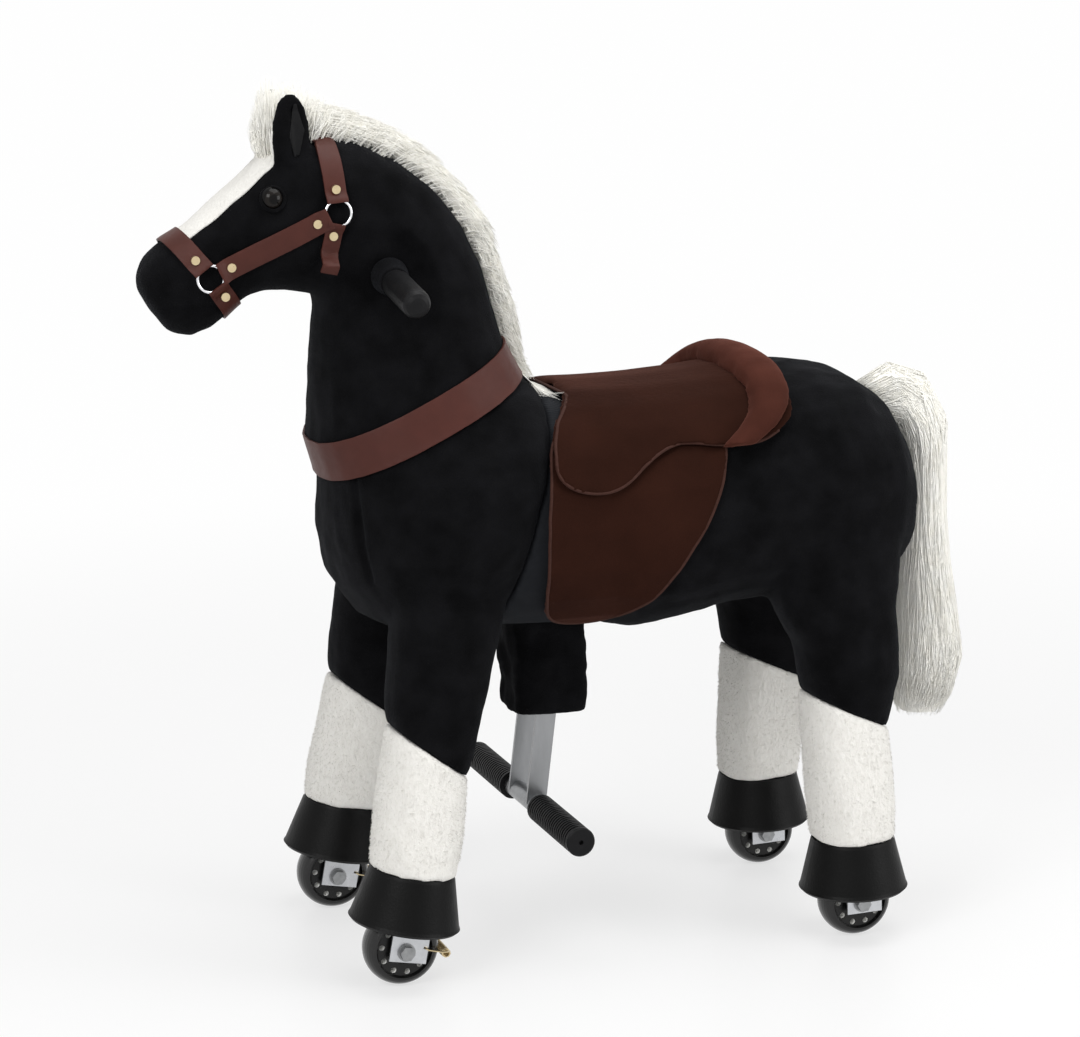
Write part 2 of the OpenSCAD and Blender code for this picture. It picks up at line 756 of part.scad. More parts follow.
// Springs. The main spring stretches between the pedal knee and the rear frame's anchor; its
// wire leaves the axis over one curl at each end. A drag spring is hooked behind a front wheel.
curl_rings = 8;
wire_sides = 6;
main_front = pedal_knee[0] - brace_d / 2 - fit;
main_back = rail_bend[0] + anchor_d / 2 + fit;
main_coil_front = main_front - 2 * main_coil_d / 3;
main_coil_back = main_back + 2 * main_coil_d / 3;
main_steps = main_curls * curl_rings;
main_path = concat(
  [[main_front, 0, spring_z], [main_front - main_wire_d, 0, spring_z]],
  [
    for (i = [0 : main_steps])
      let (ease = min(1, (i + 2) / curl_rings, (main_steps - i + 2) / curl_rings))
      let (r = main_coil_d / 2 * ease, turn = 360 * i / curl_rings)
      [blend(main_coil_front, main_coil_back, i / main_steps), r * cos(turn), spring_z + r * sin(turn)]
  ],
  [[main_back + main_wire_d, 0, spring_z], [main_back, 0, spring_z]]
);
module main_spring() {
  color(steel) tube(main_path, main_wire_d, wire_sides, [0, 1, 0]);
}
drag_back = tread_r + drag_coil_d / 2 + drag_wire_d / 2 + 2 * run_gap;
drag_half = wheel_w / 2;
drag_arm_y = fork_gap / 2 + plate_t + 1.5 * drag_wire_d;
drag_steps = drag_curls * curl_rings;
drag_hook = [
  [-spring_hole_back, fork_gap / 2, spring_hole_up],
  [-spring_hole_back, fork_gap / 2 + plate_t + drag_wire_d / 4, spring_hole_up],
  [-spring_hole_back - drag_wire_d / 2, drag_arm_y - drag_wire_d / 4, spring_hole_up],
  [-spring_hole_back - 2 * drag_wire_d, drag_arm_y, spring_hole_up - drag_wire_d / 2],
  [-drag_back + drag_coil_d, drag_arm_y, drag_coil_d / 2],
  [-drag_back + drag_coil_d / 4, drag_arm_y - drag_wire_d, drag_coil_d / 2]
];
drag_path = concat(
  drag_hook,
  [
    for (i = [0 : drag_steps])
      let (turn = 135 + 360 * i / curl_rings, r = drag_coil_d / 2)
      [-drag_back + r * cos(turn), drag_half * (1 - 2 * i / drag_steps), r * sin(turn)]
  ],
  [for (p = backwards(drag_hook)) [p[0], -p[1], p[2]]]
);
module drag_spring() {
  color(brass) tube(drag_path, drag_wire_d, wire_sides, [0, 0, 1]);
}
echo(main_spring_gap = least_gap(main_path, main_wire_d, curl_rings - 2));
echo(drag_spring_gap = least_gap(drag_path, drag_wire_d, curl_rings - 2));

// Plush body
leg_hole_d = leg_tube_d + 3;
module chest() {
  color(plush_black) difference() {
    shell(chest_rows, 0, -plush_t);
    both_sides() front_corner(1) translate([0, 0, front_slant_z])
      cylinder(h = front_tube_end - front_slant_z, d = leg_hole_d);
  }
}
module barrel() {
  color(plush_black) difference() {
    shell(barrel_rows, 0, -plush_t, true);
    both_sides() hind_corner(1) translate([0, 0, hind_slant_z])
      cylinder(h = hind_tube_end - hind_slant_z, d = leg_hole_d);
  }
}
panel_t = 3;
boot_t = 8;
boot_x = strut_at((boot_z + belly_z) / 2)[0];
boot_top = chest_rows[0][0][1];
panel_rows = [chest_rows[0], barrel_rows[0]];
module stretch_panel() {
  color([0.06, 0.07, 0.1]) difference() {
    shell(panel_rows, 0, -panel_t);
    translate([boot_x - boot_l / 2 + boot_t, boot_t - boot_w / 2, boot_z])
      cube([boot_l - 2 * boot_t, boot_w - 2 * boot_t, boot_top - boot_z + overrun]);
  }
}
handle_level = column_end - bar_d * 0.6;
slot_l = 68;
slot_h = 46;
slot_drop = 30;
module neck() {
  color(plush_black) difference() {
    shell(neck_rows, 0, -plush_t);
    column_frame() translate([bar_reach - slot_l / 2, -wheel_y, handle_level - slot_drop])
      cube([slot_l, track, slot_h]);
  }
}
module head() {
  color(plush_black) difference() {
    head_form(0);
    rod(side_point(post_bend, 0), side_point(post_top + [fit, fit], 0), brace_d + 2 * soft_gap);
  }
}
module front_leg_left() {
  color(plush_black) difference() {
    front_corner(1) leg_cover(leg_rows(front_cover_shares, front_slant_z, front_cover_top));
    chest_form(soft_gap);
    loft(panel_rows, soft_gap);
  }
}
module front_leg_right() {
  color(plush_black) difference() {
    mirror([0, 1, 0]) front_corner(1) leg_cover(leg_rows(front_cover_shares, front_slant_z, front_cover_top));
    chest_form(soft_gap);
    loft(panel_rows, soft_gap);
  }
}
module hind_leg_left() {
  color(plush_black) difference() {
    hind_corner(1) leg_cover(leg_rows(hind_cover_shares, hind_slant_z, hind_cover_top));
    barrel_form(soft_gap);
  }
}
module hind_leg_right() {
  color(plush_black) difference() {
    mirror([0, 1, 0]) hind_corner(1) leg_cover(leg_rows(hind_cover_shares, hind_slant_z, hind_cover_top));
    barrel_form(soft_gap);
  }
}
module front_socks() {
  color(sock_white) both_sides() front_corner(1) leg_cover(sock_rows(front_hoof_top, front_slant_z));
}
module hind_socks() {
  color(sock_white) both_sides() hind_corner(1) leg_cover(sock_rows(hind_hoof_top, hind_slant_z));
}
module front_hooves() {
  color(rubber) both_sides() front_corner(1) hoof(front_hoof_top);
}
module hind_hooves() {
  color(rubber) both_sides() hind_corner(1) hoof(hind_hoof_top);
}

// Hair, ears and eyes. The mane lies over the straps that cross the crest.
tail_shares = [
  [0.79, 0.819, 1.002, 0.924, 0.6],
  [0.632, 0.839, 0.646, 0.99, 0.79],
  [0.55, 0.804, 0.358, 0.953, 0.91],
  [0.523, 0.729, 0.18, 0.831, 0.94],
  [0.523, 0.609, 0.18, 0.619, 0.91],
  [0.529, 0.465, 0.153, 0.465, 0.94],
  [0.529, 0.319, 0.064, 0.304, 1],
  [0.543, 0.17, 0.009, 0.17, 1],
  [0.557, 0.07, 0.084, 0.06, 0.85],
  [0.495, 0.009, 0.18, 0, 0.48]
];
mane_shares = [
  [0.07, 0.03, 0, 0.1, 0.4],
  [0.135, 0.17, 0.025, 0.155, 0.65],
  [0.175, 0.31, 0.05, 0.31, 0.8],
  [0.21, 0.43, 0.1, 0.455, 0.85],
  [0.265, 0.545, 0.16, 0.615, 0.9],
  [0.355, 0.655, 0.27, 0.74, 0.9],
  [0.485, 0.75, 0.415, 0.865, 0.9],
  [0.615, 0.81, 0.58, 0.94, 0.95],
  [0.72, 0.82, 0.71, 0.975, 1],
  [0.81, 0.805, 0.83, 0.995, 1],
  [0.875, 0.79, 0.915, 0.955, 0.9],
  [0.92, 0.77, 0.975, 0.85, 0.5]
];
ear_shares = [
  [0.07, 0, 0.98, 0.11, 1],
  [0, 0.28, 1, 0.36, 1],
  [0.04, 0.555, 0.97, 0.61, 0.88],
  [0.16, 0.805, 0.86, 0.83, 0.68],
  [0.34, 0.96, 0.68, 0.97, 0.36]
];
tail_reach_share = 0.598;
tail_drop_share = 1.014;
mane_back_share = 0.053;
mane_drop_share = 0.088;
ear_place_share = 0.24;
ear_sink_share = 0.15;
ear_y = 37;
tail_corner = barrel_corner + [-tail_reach_share * tail_l, barrel_h - tail_drop_share * tail_h];
mane_corner = neck_foot[1] - [mane_back_share * mane_l, mane_drop_share * mane_h];
module tail() {
  color(hair_white) difference() {
    loft(sections(tail_shares, tail_corner, [tail_l, tail_h, tail_w]), 0, hair_sides);
    barrel_form(soft_gap);
  }
}
module mane() {
  over = strap_t + 2 * soft_gap;
  color(hair_white) difference() {
    loft(sections(mane_shares, mane_corner, [mane_l, mane_h, mane_w]), 0, hair_sides);
    neck_form(over);
    head_form(over);
    chest_form(over);
  }
}
module ears() {
  corner = head_corner + [ear_place_share * head_l, (1 - ear_sink_share) * head_h];
  color(plush_black) difference() {
    both_sides() loft(shifted(sections(ear_shares, corner, [ear_l, ear_h, ear_w]), ear_y), 0, hair_sides);
    head_form(soft_gap);
  }
}
eye_turn = 68;
eye_sink_share = 0.2;
module eyes() {
  seat = ring_point(head_rows[3], 0, eye_turn);
  color([0.12, 0.08, 0.06]) difference() {
    both_sides() translate(seat - [0, eye_sink_share * eye_d, 0]) sphere(d = eye_d);
    head_form(soft_gap);
  }
}

// Saddle: side outlines as shares of the barrel's length and height, rounded by cutting corners
flap_shares = [
  [1.085, 0.885], [1.122, 0.75], [1.135, 0.6], [1.135, 0.28], [1.12, 0.11], [1.052, 0.06],
  [0.937, 0.06], [0.838, 0.14], [0.754, 0.33], [0.677, 0.53], [0.635, 0.72], [0.625, 0.885]
];
seat_shares = [
  [0.955, 1.12], [0.96, 0.96], [1, 0.93], [1.06, 0.88], [1.098, 0.81], [1.115, 0.73], [1.105, 0.66], [1.05, 0.615],
  [0.985, 0.6], [0.917, 0.63], [0.844, 0.725], [0.771, 0.775], [0.687, 0.765], [0.583, 0.75], [0.48, 0.8],
  [0.425, 0.88], [0.41, 1.12]
];
function on_barrel(share) = barrel_corner + [share[0] * barrel_l, share[1] * barrel_h];
function rounded(p, rounds) = rounds == 0 ? p : rounded([
  for (i = [0 : len(p) - 1])
    let (a = p[i], b = p[(i + 1) % len(p)])
    each [blend(a, b, 0.25), blend(a, b, 0.75)]
], rounds - 1);
module side_prism(outline) {
  rotate([90, 0, 0]) linear_extrude(height = 2 * track, center = true)
    polygon(rounded([for (s = outline) on_barrel(s)], 2));
}
seat_over = flap_t + 2 * soft_gap;
hinge_swing = 9;
module opened_chest() {
  for (turn = [0, 1 / 3, 2 / 3, 1] * hinge_swing)
    translate(side_point(hinge, 0)) rotate([0, -turn, 0]) translate(-side_point(hinge, 0)) chest_form(2 * soft_gap);
}
module saddle_flaps() {
  color(suede) difference() {
    intersection() {
      shell(saddle_rows, soft_gap + flap_t, soft_gap, true);
      side_prism(flap_shares);
    }
    loft(panel_rows, soft_gap);
    opened_chest();
  }
}
module saddle_seat() {
  color(suede) difference() {
    intersection() {
      shell(saddle_rows, seat_over + seat_t, seat_over, true);
      side_prism(seat_shares);
    }
    opened_chest();
  }
}
cantle_wrap = 64;
cantle_rings = 14;
cantle_sides = 14;
cantle_sweep = 60;
cantle_ahead = 8;
cantle_row = barrel_rows[4];
cantle_narrow_share = 0.6;
cantle_sink_share = 0.12;
cantle_lobe_share = 0.1;
function cantle_ring(t) =
  let (over = seat_over + seat_t, seat = ring_point(cantle_row, over, cantle_wrap * t))
  let (away = seat - side_point(middle(cantle_row), 0), up = [0, away[1], away[2]] / norm([0, away[1], away[2]]))
  let (size = sqrt(1 - cantle_narrow_share * t * t), ahead = [cantle_ahead + cantle_sweep * pow(t, 4), 0, 0])
  [
    for (k = [0 : cantle_sides - 1])
      let (turn = 360 * k / cantle_sides)
      seat + ahead + up * (cantle_lobe_share * t * t - cantle_sink_share + cos(turn) / 2) * cantle_d * size
        + [cantle_l / 2 * sin(turn) * size, 0, 0]
  ];
module cantle_roll() {
  last = cantle_rings * cantle_sides;
  color(suede) difference() {
    polyhedron(
      points = flat_list([for (i = [0 : cantle_rings]) cantle_ring(2 * i / cantle_rings - 1)]),
      faces = concat(
        skin(0, cantle_rings + 1, cantle_sides),
        fan(0, cantle_sides),
        turned(fan(last, cantle_sides))
      )
    );
    loft(saddle_rows, seat_over + seat_t + soft_gap);
  }
}

// Tack: straps are slices of a thin wall over the head or neck
ring_low = middle(head_rows[6]);
ring_lift = 9;
ring_up = blend(middle(head_rows[0]), middle(head_rows[1]), 0.5) + [0, ring_lift];
ring_low_y = head_rows[6][2];
ring_up_y = (head_rows[0][2] + head_rows[1][2]) / 2;
nose_turn = 52;
stall_turn = 86;
throat_turn = 282;
poll_rows = concat([for (i = [4 : 6]) neck_rows[i]], [for (i = [0 : 5]) head_rows[i]]);
module slice(centre, turn, length, width) {
  translate(side_point(centre, 0)) rotate([0, -turn, 0]) cube([length, track, width], center = true);
}
module half_slice(from, turn, length, width) {
  slice(from + length / 2 * [cos(turn), sin(turn)], turn, length, width);
}
module strap_wall(rows) {
  shell(rows, soft_gap + strap_t, soft_gap);
}
module noseband() {
  color(leather) intersection() {
    strap_wall(head_rows);
    slice(ring_low, nose_turn, head_l, strap_w);
  }
}
cheek_run = ring_up - ring_low;
cheek_dir = cheek_run / norm(cheek_run);
module cheek_slice(over) {
  slice((ring_low + ring_up) / 2, atan2(cheek_run[1], cheek_run[0]), norm(cheek_run) - ring_d + over, strap_w + over);
}
module cheek_straps() {
  color(leather) intersection() {
    strap_wall(head_rows);
    cheek_slice(0);
  }
}
module headstall() {
  color(leather) difference() {
    intersection() {
      strap_wall(poll_rows);
      union() {
        half_slice(ring_up, stall_turn, head_l, strap_w);
        half_slice(ring_up, throat_turn, head_l, strap_w);
      }
    }
    cheek_slice(2 * soft_gap);
  }
}
module breast_collar() {
  arm = neck_foot[1] - neck_foot[0];
  up = [arm[1], -arm[0]] / norm(arm);
  color(leather) intersection() {
    strap_wall(neck_rows);
    slice(middle(neck_foot) + up * (collar_w / 2 + strap_t), atan2(arm[1], arm[0]), neck_l + neck_h, collar_w);
  }
}
module bridle_rings() {
  color(steel) difference() {
    both_sides() for (place = [side_point(ring_low, ring_low_y), side_point(ring_up, ring_up_y)])
      translate(place + [0, strap_t + 2 * soft_gap + ring_wire_d / 2, 0]) rotate([90, 0, 0])
        rotate_extrude() translate([(ring_d - ring_wire_d) / 2, 0]) circle(d = ring_wire_d);
    head_form(strap_t + 2 * soft_gap);
  }
}
rivet_step = 24;
rivet_t = 1.6;
nose_dir = [cos(nose_turn), sin(nose_turn)];
stall_dir = [cos(stall_turn), sin(stall_turn)];
throat_dir = [cos(throat_turn), sin(throat_turn)];
rivet_places = [
  ring_low + rivet_step * nose_dir,
  ring_low - rivet_step * nose_dir,
  ring_low + rivet_step * cheek_dir,
  ring_up - rivet_step * cheek_dir,
  ring_up + rivet_step * stall_dir,
  ring_up + rivet_step * throat_dir
];
head_widths = [for (s = backwards(head_rows)) [-middle(s)[0], s[2]]];
module bridle_rivets() {
  color(brass) difference() {
    both_sides() for (p = rivet_places)
      translate(side_point(p, lookup(-p[0], head_widths) + strap_t + soft_gap + rivet_t - rivet_d / 2))
        along_y(rivet_d, rivet_d);
    head_form(soft_gap + strap_t + fit);
  }
}

// Pedals
module pedal_strut() {
  color(steel) {
    along_y_at = side_point([pedal_x, pedal_z], 0);
    translate(along_y_at) along_y(foot_bar_l - 2 * boot_t, pedal_tube_d);
    both_sides() difference() {
      translate([pedal_x, strut_y, pedal_z]) rotate([0, -strut_lean, 0])
        translate([-strut_w / 2, 0, 0]) cube([strut_w, strut_t, norm(pedal_knee - [pedal_x, pedal_z]) + brace_d / 2]);
      translate(along_y_at) along_y(track, pedal_tube_d - 2 * strut_t);
    }
  }
}
rib_count = 22;
rib_depth = 1.5;
grip_flange = 4;
dimple_r = 2.5;
dimple_depth = 4;
module pedal_grips() {
  start = foot_bar_l / 2 - foot_grip_l;
  pitch = (foot_grip_l - 2 * grip_flange) / rib_count;
  bore_r = pedal_tube_d / 2 + fit;
  r = foot_grip_d / 2;
  color(rubber) both_sides() translate(side_point([pedal_x, pedal_z], 0)) rotate([-90, 0, 0]) rotate_extrude()
    polygon(concat(
      [[dimple_r, foot_bar_l / 2], [dimple_r, foot_bar_l / 2 - dimple_depth], [0, foot_bar_l / 2 - dimple_depth]],
      [[0, foot_bar_l / 2 - boot_t + fit], [bore_r, foot_bar_l / 2 - boot_t + fit], [bore_r, start]],
      [[r, start], [r, start + grip_flange]],
      [
        for (i = [0 : rib_count - 1])
          let (z = start + grip_flange + i * pitch)
          each [[r - rib_depth, z], [r - rib_depth, z + pitch / 2], [r, z + pitch / 2], [r, z + pitch]]
      ],
      [[r, foot_bar_l / 2 - rib_depth], [r - rib_depth, foot_bar_l / 2]]
    ));
}
boot_round = 16;
module boot_outline(inset) {
  round = boot_round - inset;
  long = boot_l - 2 * inset;
  wide = boot_w - 2 * inset;
  square([long - 2 * round, wide], center = true);
  square([long, wide - 2 * round], center = true);
  for (sx = [-1, 1], sy = [-1, 1])
    translate([sx * (long / 2 - round), sy * (wide / 2 - round)]) circle(r = round);
}
module pedal_boot() {
  color(plush_black) difference() {
    translate([boot_x, 0, boot_z]) difference() {
      linear_extrude(height = boot_top - boot_z) boot_outline(0);
      translate([0, 0, boot_t]) linear_extrude(height = boot_top) boot_outline(boot_t);
    }
    both_sides() translate([pedal_x, strut_y - soft_gap, pedal_z]) rotate([0, -strut_lean, 0])
      translate([-strut_w / 2 - soft_gap, 0, 0])
      cube([strut_w + 2 * soft_gap, strut_t + 2 * soft_gap, hinge_z]);
    loft(panel_rows, soft_gap);
  }
}

// Steering
module steering_column() {
  start = cable_levels[1] - pulley_h / 2;
  color(steel) column_frame() {
    translate([0, 0, start]) cylinder(h = column_end - start, d = stem_d);
    for (level = cable_levels) translate([0, 0, level]) pulley(pulley_d);
    difference() {
      rod([0, 0, handle_level], [bar_reach, 0, handle_level], stem_d);
      translate([bar_reach, 0, handle_level]) along_y(bar_d * 2, bar_d + 2 * fit);
    }
  }
}
clamp_l = 24;
grip_start = 76;
grip_taper = 16;
grip_cap = 8;
bar_end = grip_end - grip_cap;
module half_bar() {
  translate([bar_reach, 0, handle_level]) rotate([-(90 + grip_droop), 0, 0]) children();
}
module handle_bar() {
  color(black_paint) column_frame() {
    translate([bar_reach, 0, handle_level]) along_y(clamp_l, bar_d);
    both_sides() difference() {
      half_bar() cylinder(h = bar_end, d = bar_d);
      translate([bar_reach, 0, handle_level]) along_y(clamp_l, 2 * bar_d);
    }
  }
}
module hand_grips() {
  r = grip_d / 2;
  bore_r = bar_d / 2 + fit;
  color(rubber) column_frame() both_sides() half_bar() rotate_extrude() polygon([
    [0, grip_end],
    [0, bar_end + fit],
    [bore_r, bar_end + fit],
    [bore_r, grip_start],
    [bore_r + r / 8, grip_start],
    [r, grip_start + grip_taper],
    [r, grip_end - 0.75 * r],
    [0.95 * r, grip_end - 0.45 * r],
    [0.8 * r, grip_end - 0.2 * r],
    [0.55 * r, grip_end - 0.05 * r],
    [0.3 * r, grip_end]
  ]);
}
cable_r = groove_r + cable_d / 2 + fit;
cable_run = norm([column_offset, wheel_y]);
module cable_loop(side, level) {
  translate([0, 0, level]) rotate([0, 0, side * atan2(wheel_y, -column_offset)]) {
    both_sides() translate([0, cable_r, 0]) rotate([0, 90, 0]) cylinder(h = cable_run, d = cable_d);
    rotate([0, 0, 90]) rotate_extrude(angle = 180) translate([cable_r, 0]) circle(d = cable_d);
    translate([cable_run, 0, 0]) rotate([0, 0, -90]) rotate_extrude(angle = 180)
      translate([cable_r, 0]) circle(d = cable_d);
  }
}
module steering_cables() {
  color(steel) column_frame() {
    cable_loop(1, cable_levels[0]);
    cable_loop(-1, cable_levels[1]);
  }
}

// Forks, axles and wheels
module hind_forks() {
  color(steel) both_sides() hind_corner(1) fork_yoke(leg_tube_start + hind_stem_l);
}
module hind_axles() {
  color(steel) both_sides() hind_corner(1) axle_bolt();
}
module fork_left() {
  color(steel) front_corner(1) front_fork(0);
}
module fork_right() {
  color(steel) front_corner(-1) front_fork(1);
}
module front_axle_left() {
  color(steel) front_corner(1) axle_bolt();
}
module front_axle_right() {
  color(steel) front_corner(-1) axle_bolt();
}
module drag_spring_left() {
  front_corner(1) drag_spring();
}
module drag_spring_right() {
  front_corner(-1) drag_spring();
}

rear_frame();
hind_forks();
hind_axles();
seat_board();
hinge_bolt();
main_spring();
barrel();
stretch_panel();
hind_leg_left();
hind_leg_right();
hind_socks();
hind_hooves();
tail();
saddle_seat();
saddle_flaps();
cantle_roll();
front_frame();
chest();
neck();
head();
ears();
eyes();
mane();
front_leg_left();
front_leg_right();
front_socks();
front_hooves();
breast_collar();
noseband();
cheek_straps();
headstall();
bridle_rings();
bridle_rivets();
pedal_strut();
pedal_grips();
pedal_boot();
steering_cables();
steering_column();
handle_bar();
hand_grips();
fork_left();
front_axle_left();
drag_spring_left();
fork_right();
front_axle_right();
drag_spring_right();
color(rubber) front_corner(1) tyre_form();  // tyre_front_left
color(black_paint) front_corner(1) hub_form();  // hub_front_left
color(steel) front_corner(1) bearing_pair();  // bearings_front_left
color(rubber) front_corner(-1) tyre_form();  // tyre_front_right
color(black_paint) front_corner(-1) hub_form();  // hub_front_right
color(steel) front_corner(-1) bearing_pair();  // bearings_front_right
color(rubber) hind_corner(1) tyre_form();  // tyre_hind_left
color(black_paint) hind_corner(1) hub_form();  // hub_hind_left
color(steel) hind_corner(1) bearing_pair();  // bearings_hind_left
color(rubber) hind_corner(-1) tyre_form();  // tyre_hind_right
color(black_paint) hind_corner(-1) hub_form();  // hub_hind_right
color(steel) hind_corner(-1) bearing_pair();  // bearings_hind_right
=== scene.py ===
import math

import bmesh
import bpy
import numpy as np
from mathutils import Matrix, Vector
from mathutils.bvhtree import BVHTree


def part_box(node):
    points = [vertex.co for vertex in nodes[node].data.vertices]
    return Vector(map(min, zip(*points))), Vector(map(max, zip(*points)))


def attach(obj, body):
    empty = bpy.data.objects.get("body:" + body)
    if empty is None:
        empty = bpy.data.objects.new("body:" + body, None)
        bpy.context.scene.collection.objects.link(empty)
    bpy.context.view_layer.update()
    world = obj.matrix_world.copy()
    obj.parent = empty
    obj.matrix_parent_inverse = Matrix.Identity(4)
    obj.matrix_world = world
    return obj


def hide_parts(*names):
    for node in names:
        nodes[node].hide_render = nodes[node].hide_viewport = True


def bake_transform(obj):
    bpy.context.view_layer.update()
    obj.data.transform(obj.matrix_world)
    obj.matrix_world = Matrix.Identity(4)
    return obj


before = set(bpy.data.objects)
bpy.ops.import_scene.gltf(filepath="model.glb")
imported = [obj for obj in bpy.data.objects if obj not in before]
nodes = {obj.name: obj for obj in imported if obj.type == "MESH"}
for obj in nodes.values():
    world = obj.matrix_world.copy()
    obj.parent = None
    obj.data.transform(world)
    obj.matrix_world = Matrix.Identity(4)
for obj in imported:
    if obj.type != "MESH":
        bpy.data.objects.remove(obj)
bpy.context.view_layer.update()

# Camera. A long lens looks at the horse's left side from a little ahead of square
# and a little above the saddle.
bpy.ops.object.select_all(action="DESELECT")
bpy.ops.object.camera_add(location=(1.1359, 3.2887, 1.1551))
camera = bpy.context.object
camera.name = "camera"
camera.data.lens = 110
camera.data.sensor_width = 36
camera.rotation_mode = "QUATERNION"
camera_aim = Vector((0.0349, 0, 0.4540))
camera.rotation_quaternion = (camera_aim - camera.location).to_track_quat("-Z", "Y")
bpy.context.scene.camera = camera


# Studio. A white sweep with a soft key lamp ahead of the horse, a wide top lamp and a
# low fill. The floor shows white to the camera and keeps a pale shadow at the wheels.
class Wire:
    """A shader socket that Python's operators work on."""

    def __init__(self, finish, socket):
        self.finish, self.socket = finish, socket

    def math(self, operation, first, second):
        return self.finish.node("ShaderNodeMath", {"operation": operation}, {0: first, 1: second})

    def __add__(self, other):
        return self.math("ADD", self, other)

    def __sub__(self, other):
        return self.math("SUBTRACT", self, other)

    def __rsub__(self, other):
        return self.math("SUBTRACT", other, self)

    def __mul__(self, other):
        return self.math("MULTIPLY", self, other)

    __radd__, __rmul__ = __add__, __mul__


class Finish:
    """A material whose nodes are written as expressions."""

    def __init__(self, name):
        self.material = bpy.data.materials.new(name)
        self.material.use_nodes = True
        self.tree = self.material.node_tree
        self.shader = self.tree.nodes["Principled BSDF"]

    def feed(self, socket, value):
        if isinstance(value, Wire):
            self.tree.links.new(value.socket, socket)
        else:
            socket.default_value = value

    def node(self, kind, settings=None, inputs=None, output=0):
        made = self.tree.nodes.new(kind)
        for key, value in (settings or {}).items():
            if key == "stops":
                ramp = made.color_ramp.elements
                while len(ramp) < len(value):
                    ramp.new(0.5)
                for element, (place, shade) in zip(ramp, value):
                    element.position, element.color = place, (shade, shade, shade, 1)
            else:
                setattr(made, key, value)
        for key, value in (inputs or {}).items():
            self.feed(made.inputs[key], value)
        return Wire(self, made.outputs[output])

    def set(self, **values):
        for key, value in values.items():
            self.feed(self.shader.inputs[key.replace("_", " ")], value)

    def place(self, stretch=(1, 1, 1)):
        where = self.node("ShaderNodeTexCoord", output=3)
        return self.node("ShaderNodeMapping", inputs={"Vector": where, "Scale": stretch})

    def grain(self, scale, detail=2.0, stretch=(1, 1, 1)):
        where = self.place(stretch)
        return self.node("ShaderNodeTexNoise", inputs={"Vector": where, "Scale": scale, "Detail": detail})

    def steps(self, value, *stops):
        return self.node("ShaderNodeValToRGB", {"stops": stops}, {"Fac": value})

    def mix(self, share, first, second):
        shades = [(*c, 1) if isinstance(c, tuple) else c for c in (first, second)]
        inputs = {0: share, 6: shades[0], 7: shades[1]}
        return self.node("ShaderNodeMix", {"data_type": "RGBA"}, inputs, output=2)

    def bump(self, height, depth, strength):
        inputs = {"Height": height, "Distance": depth, "Strength": strength}
        return self.node("ShaderNodeBump", inputs=inputs)


def lamp(name, place, aim, size, power):
    bpy.ops.object.light_add(type="AREA", location=place)
    made = bpy.context.object
    made.name = name
    made.data.size = size
    made.data.energy = power
    made.rotation_mode = "QUATERNION"
    made.rotation_quaternion = (Vector(aim) - Vector(place)).to_track_quat("-Z", "Y")


lamp("key_lamp", (2.2, 1.9, 2.2), (0.1, 0, 0.5), 1.4, 46)
lamp("top_lamp", (-0.3, 0.3, 2.8), (0, 0, 0.5), 2.0, 38)
lamp("fill_lamp", (-2.4, 2.0, 1.2), (-0.2, 0, 0.45), 1.6, 38)
bpy.ops.mesh.primitive_plane_add(size=90)
floor = bpy.context.object
floor.name = "floor"
floor_white = Finish("floor_white")
floor_white.set(Base_Color=(0.9, 0.9, 0.9, 1), Roughness=0.4)
glow = floor_white.node("ShaderNodeEmission", inputs={"Color": (1, 1, 1, 1), "Strength": 1.0})
seen = floor_white.node("ShaderNodeLightPath")
seen_glossy = floor_white.node("ShaderNodeLightPath", output=3)
floor_flat = floor_white.place((1, 1, 0))
floor_spot = floor_white.node("ShaderNodeVectorMath", {"operation": "LENGTH"}, {0: floor_flat}, output=1)
floor_rise = floor_white.node(
    "ShaderNodeMapRange",
    {"interpolation_type": "SMOOTHSTEP"},
    {"Value": floor_spot, "From Min": 0.5, "From Max": 2.6, "To Min": 0.63, "To Max": 0.985},
)
floor_share = (seen + seen_glossy) * floor_rise
floor_shader = floor_white.node(
    "ShaderNodeMixShader",
    inputs={0: floor_share, 1: Wire(floor_white, floor_white.shader.outputs[0]), 2: glow},
)
floor_white.feed(floor_white.tree.nodes["Material Output"].inputs["Surface"], floor_shader)
floor.data.materials.append(floor_white.material)
world = bpy.data.worlds.new("studio")
bpy.context.scene.world = world
world.use_nodes = True
sky = world.node_tree
sky_rays = sky.nodes.new("ShaderNodeLightPath")
sky_seen = sky.nodes.new("ShaderNodeMath")
sky_seen.operation = "MAXIMUM"
sky.links.new(sky_rays.outputs["Is Camera Ray"], sky_seen.inputs[0])
sky.links.new(sky_rays.outputs["Is Glossy Ray"], sky_seen.inputs[1])
sky_level = sky.nodes.new("ShaderNodeMapRange")
sky_level.inputs["To Min"].default_value = 0.36
sky.links.new(sky_seen.outputs[0], sky_level.inputs["Value"])
sky.nodes["Background"].inputs["Color"].default_value = (1, 1, 1, 1)
sky.links.new(sky_level.outputs[0], sky.nodes["Background"].inputs["Strength"])
bpy.context.scene.view_settings.view_transform = "Standard"


# Front coat. Short black plush sewn over stuffing: chest, neck, head, ears and front legs
# are one skin. It is made from the frame's soft solids, closed, fused and eased.
def only(obj):
    """Selects one object, and makes it the active one."""
    bpy.ops.object.select_all(action="DESELECT")
    obj.select_set(True)
    bpy.context.view_layer.objects.active = obj
    return obj


def new_mesh(name, bm):
    mesh = bpy.data.meshes.new(name)
    bm.to_mesh(mesh)
    bm.free()
    obj = bpy.data.objects.new(name, mesh)
    bpy.context.scene.collection.objects.link(obj)
    return only(obj)


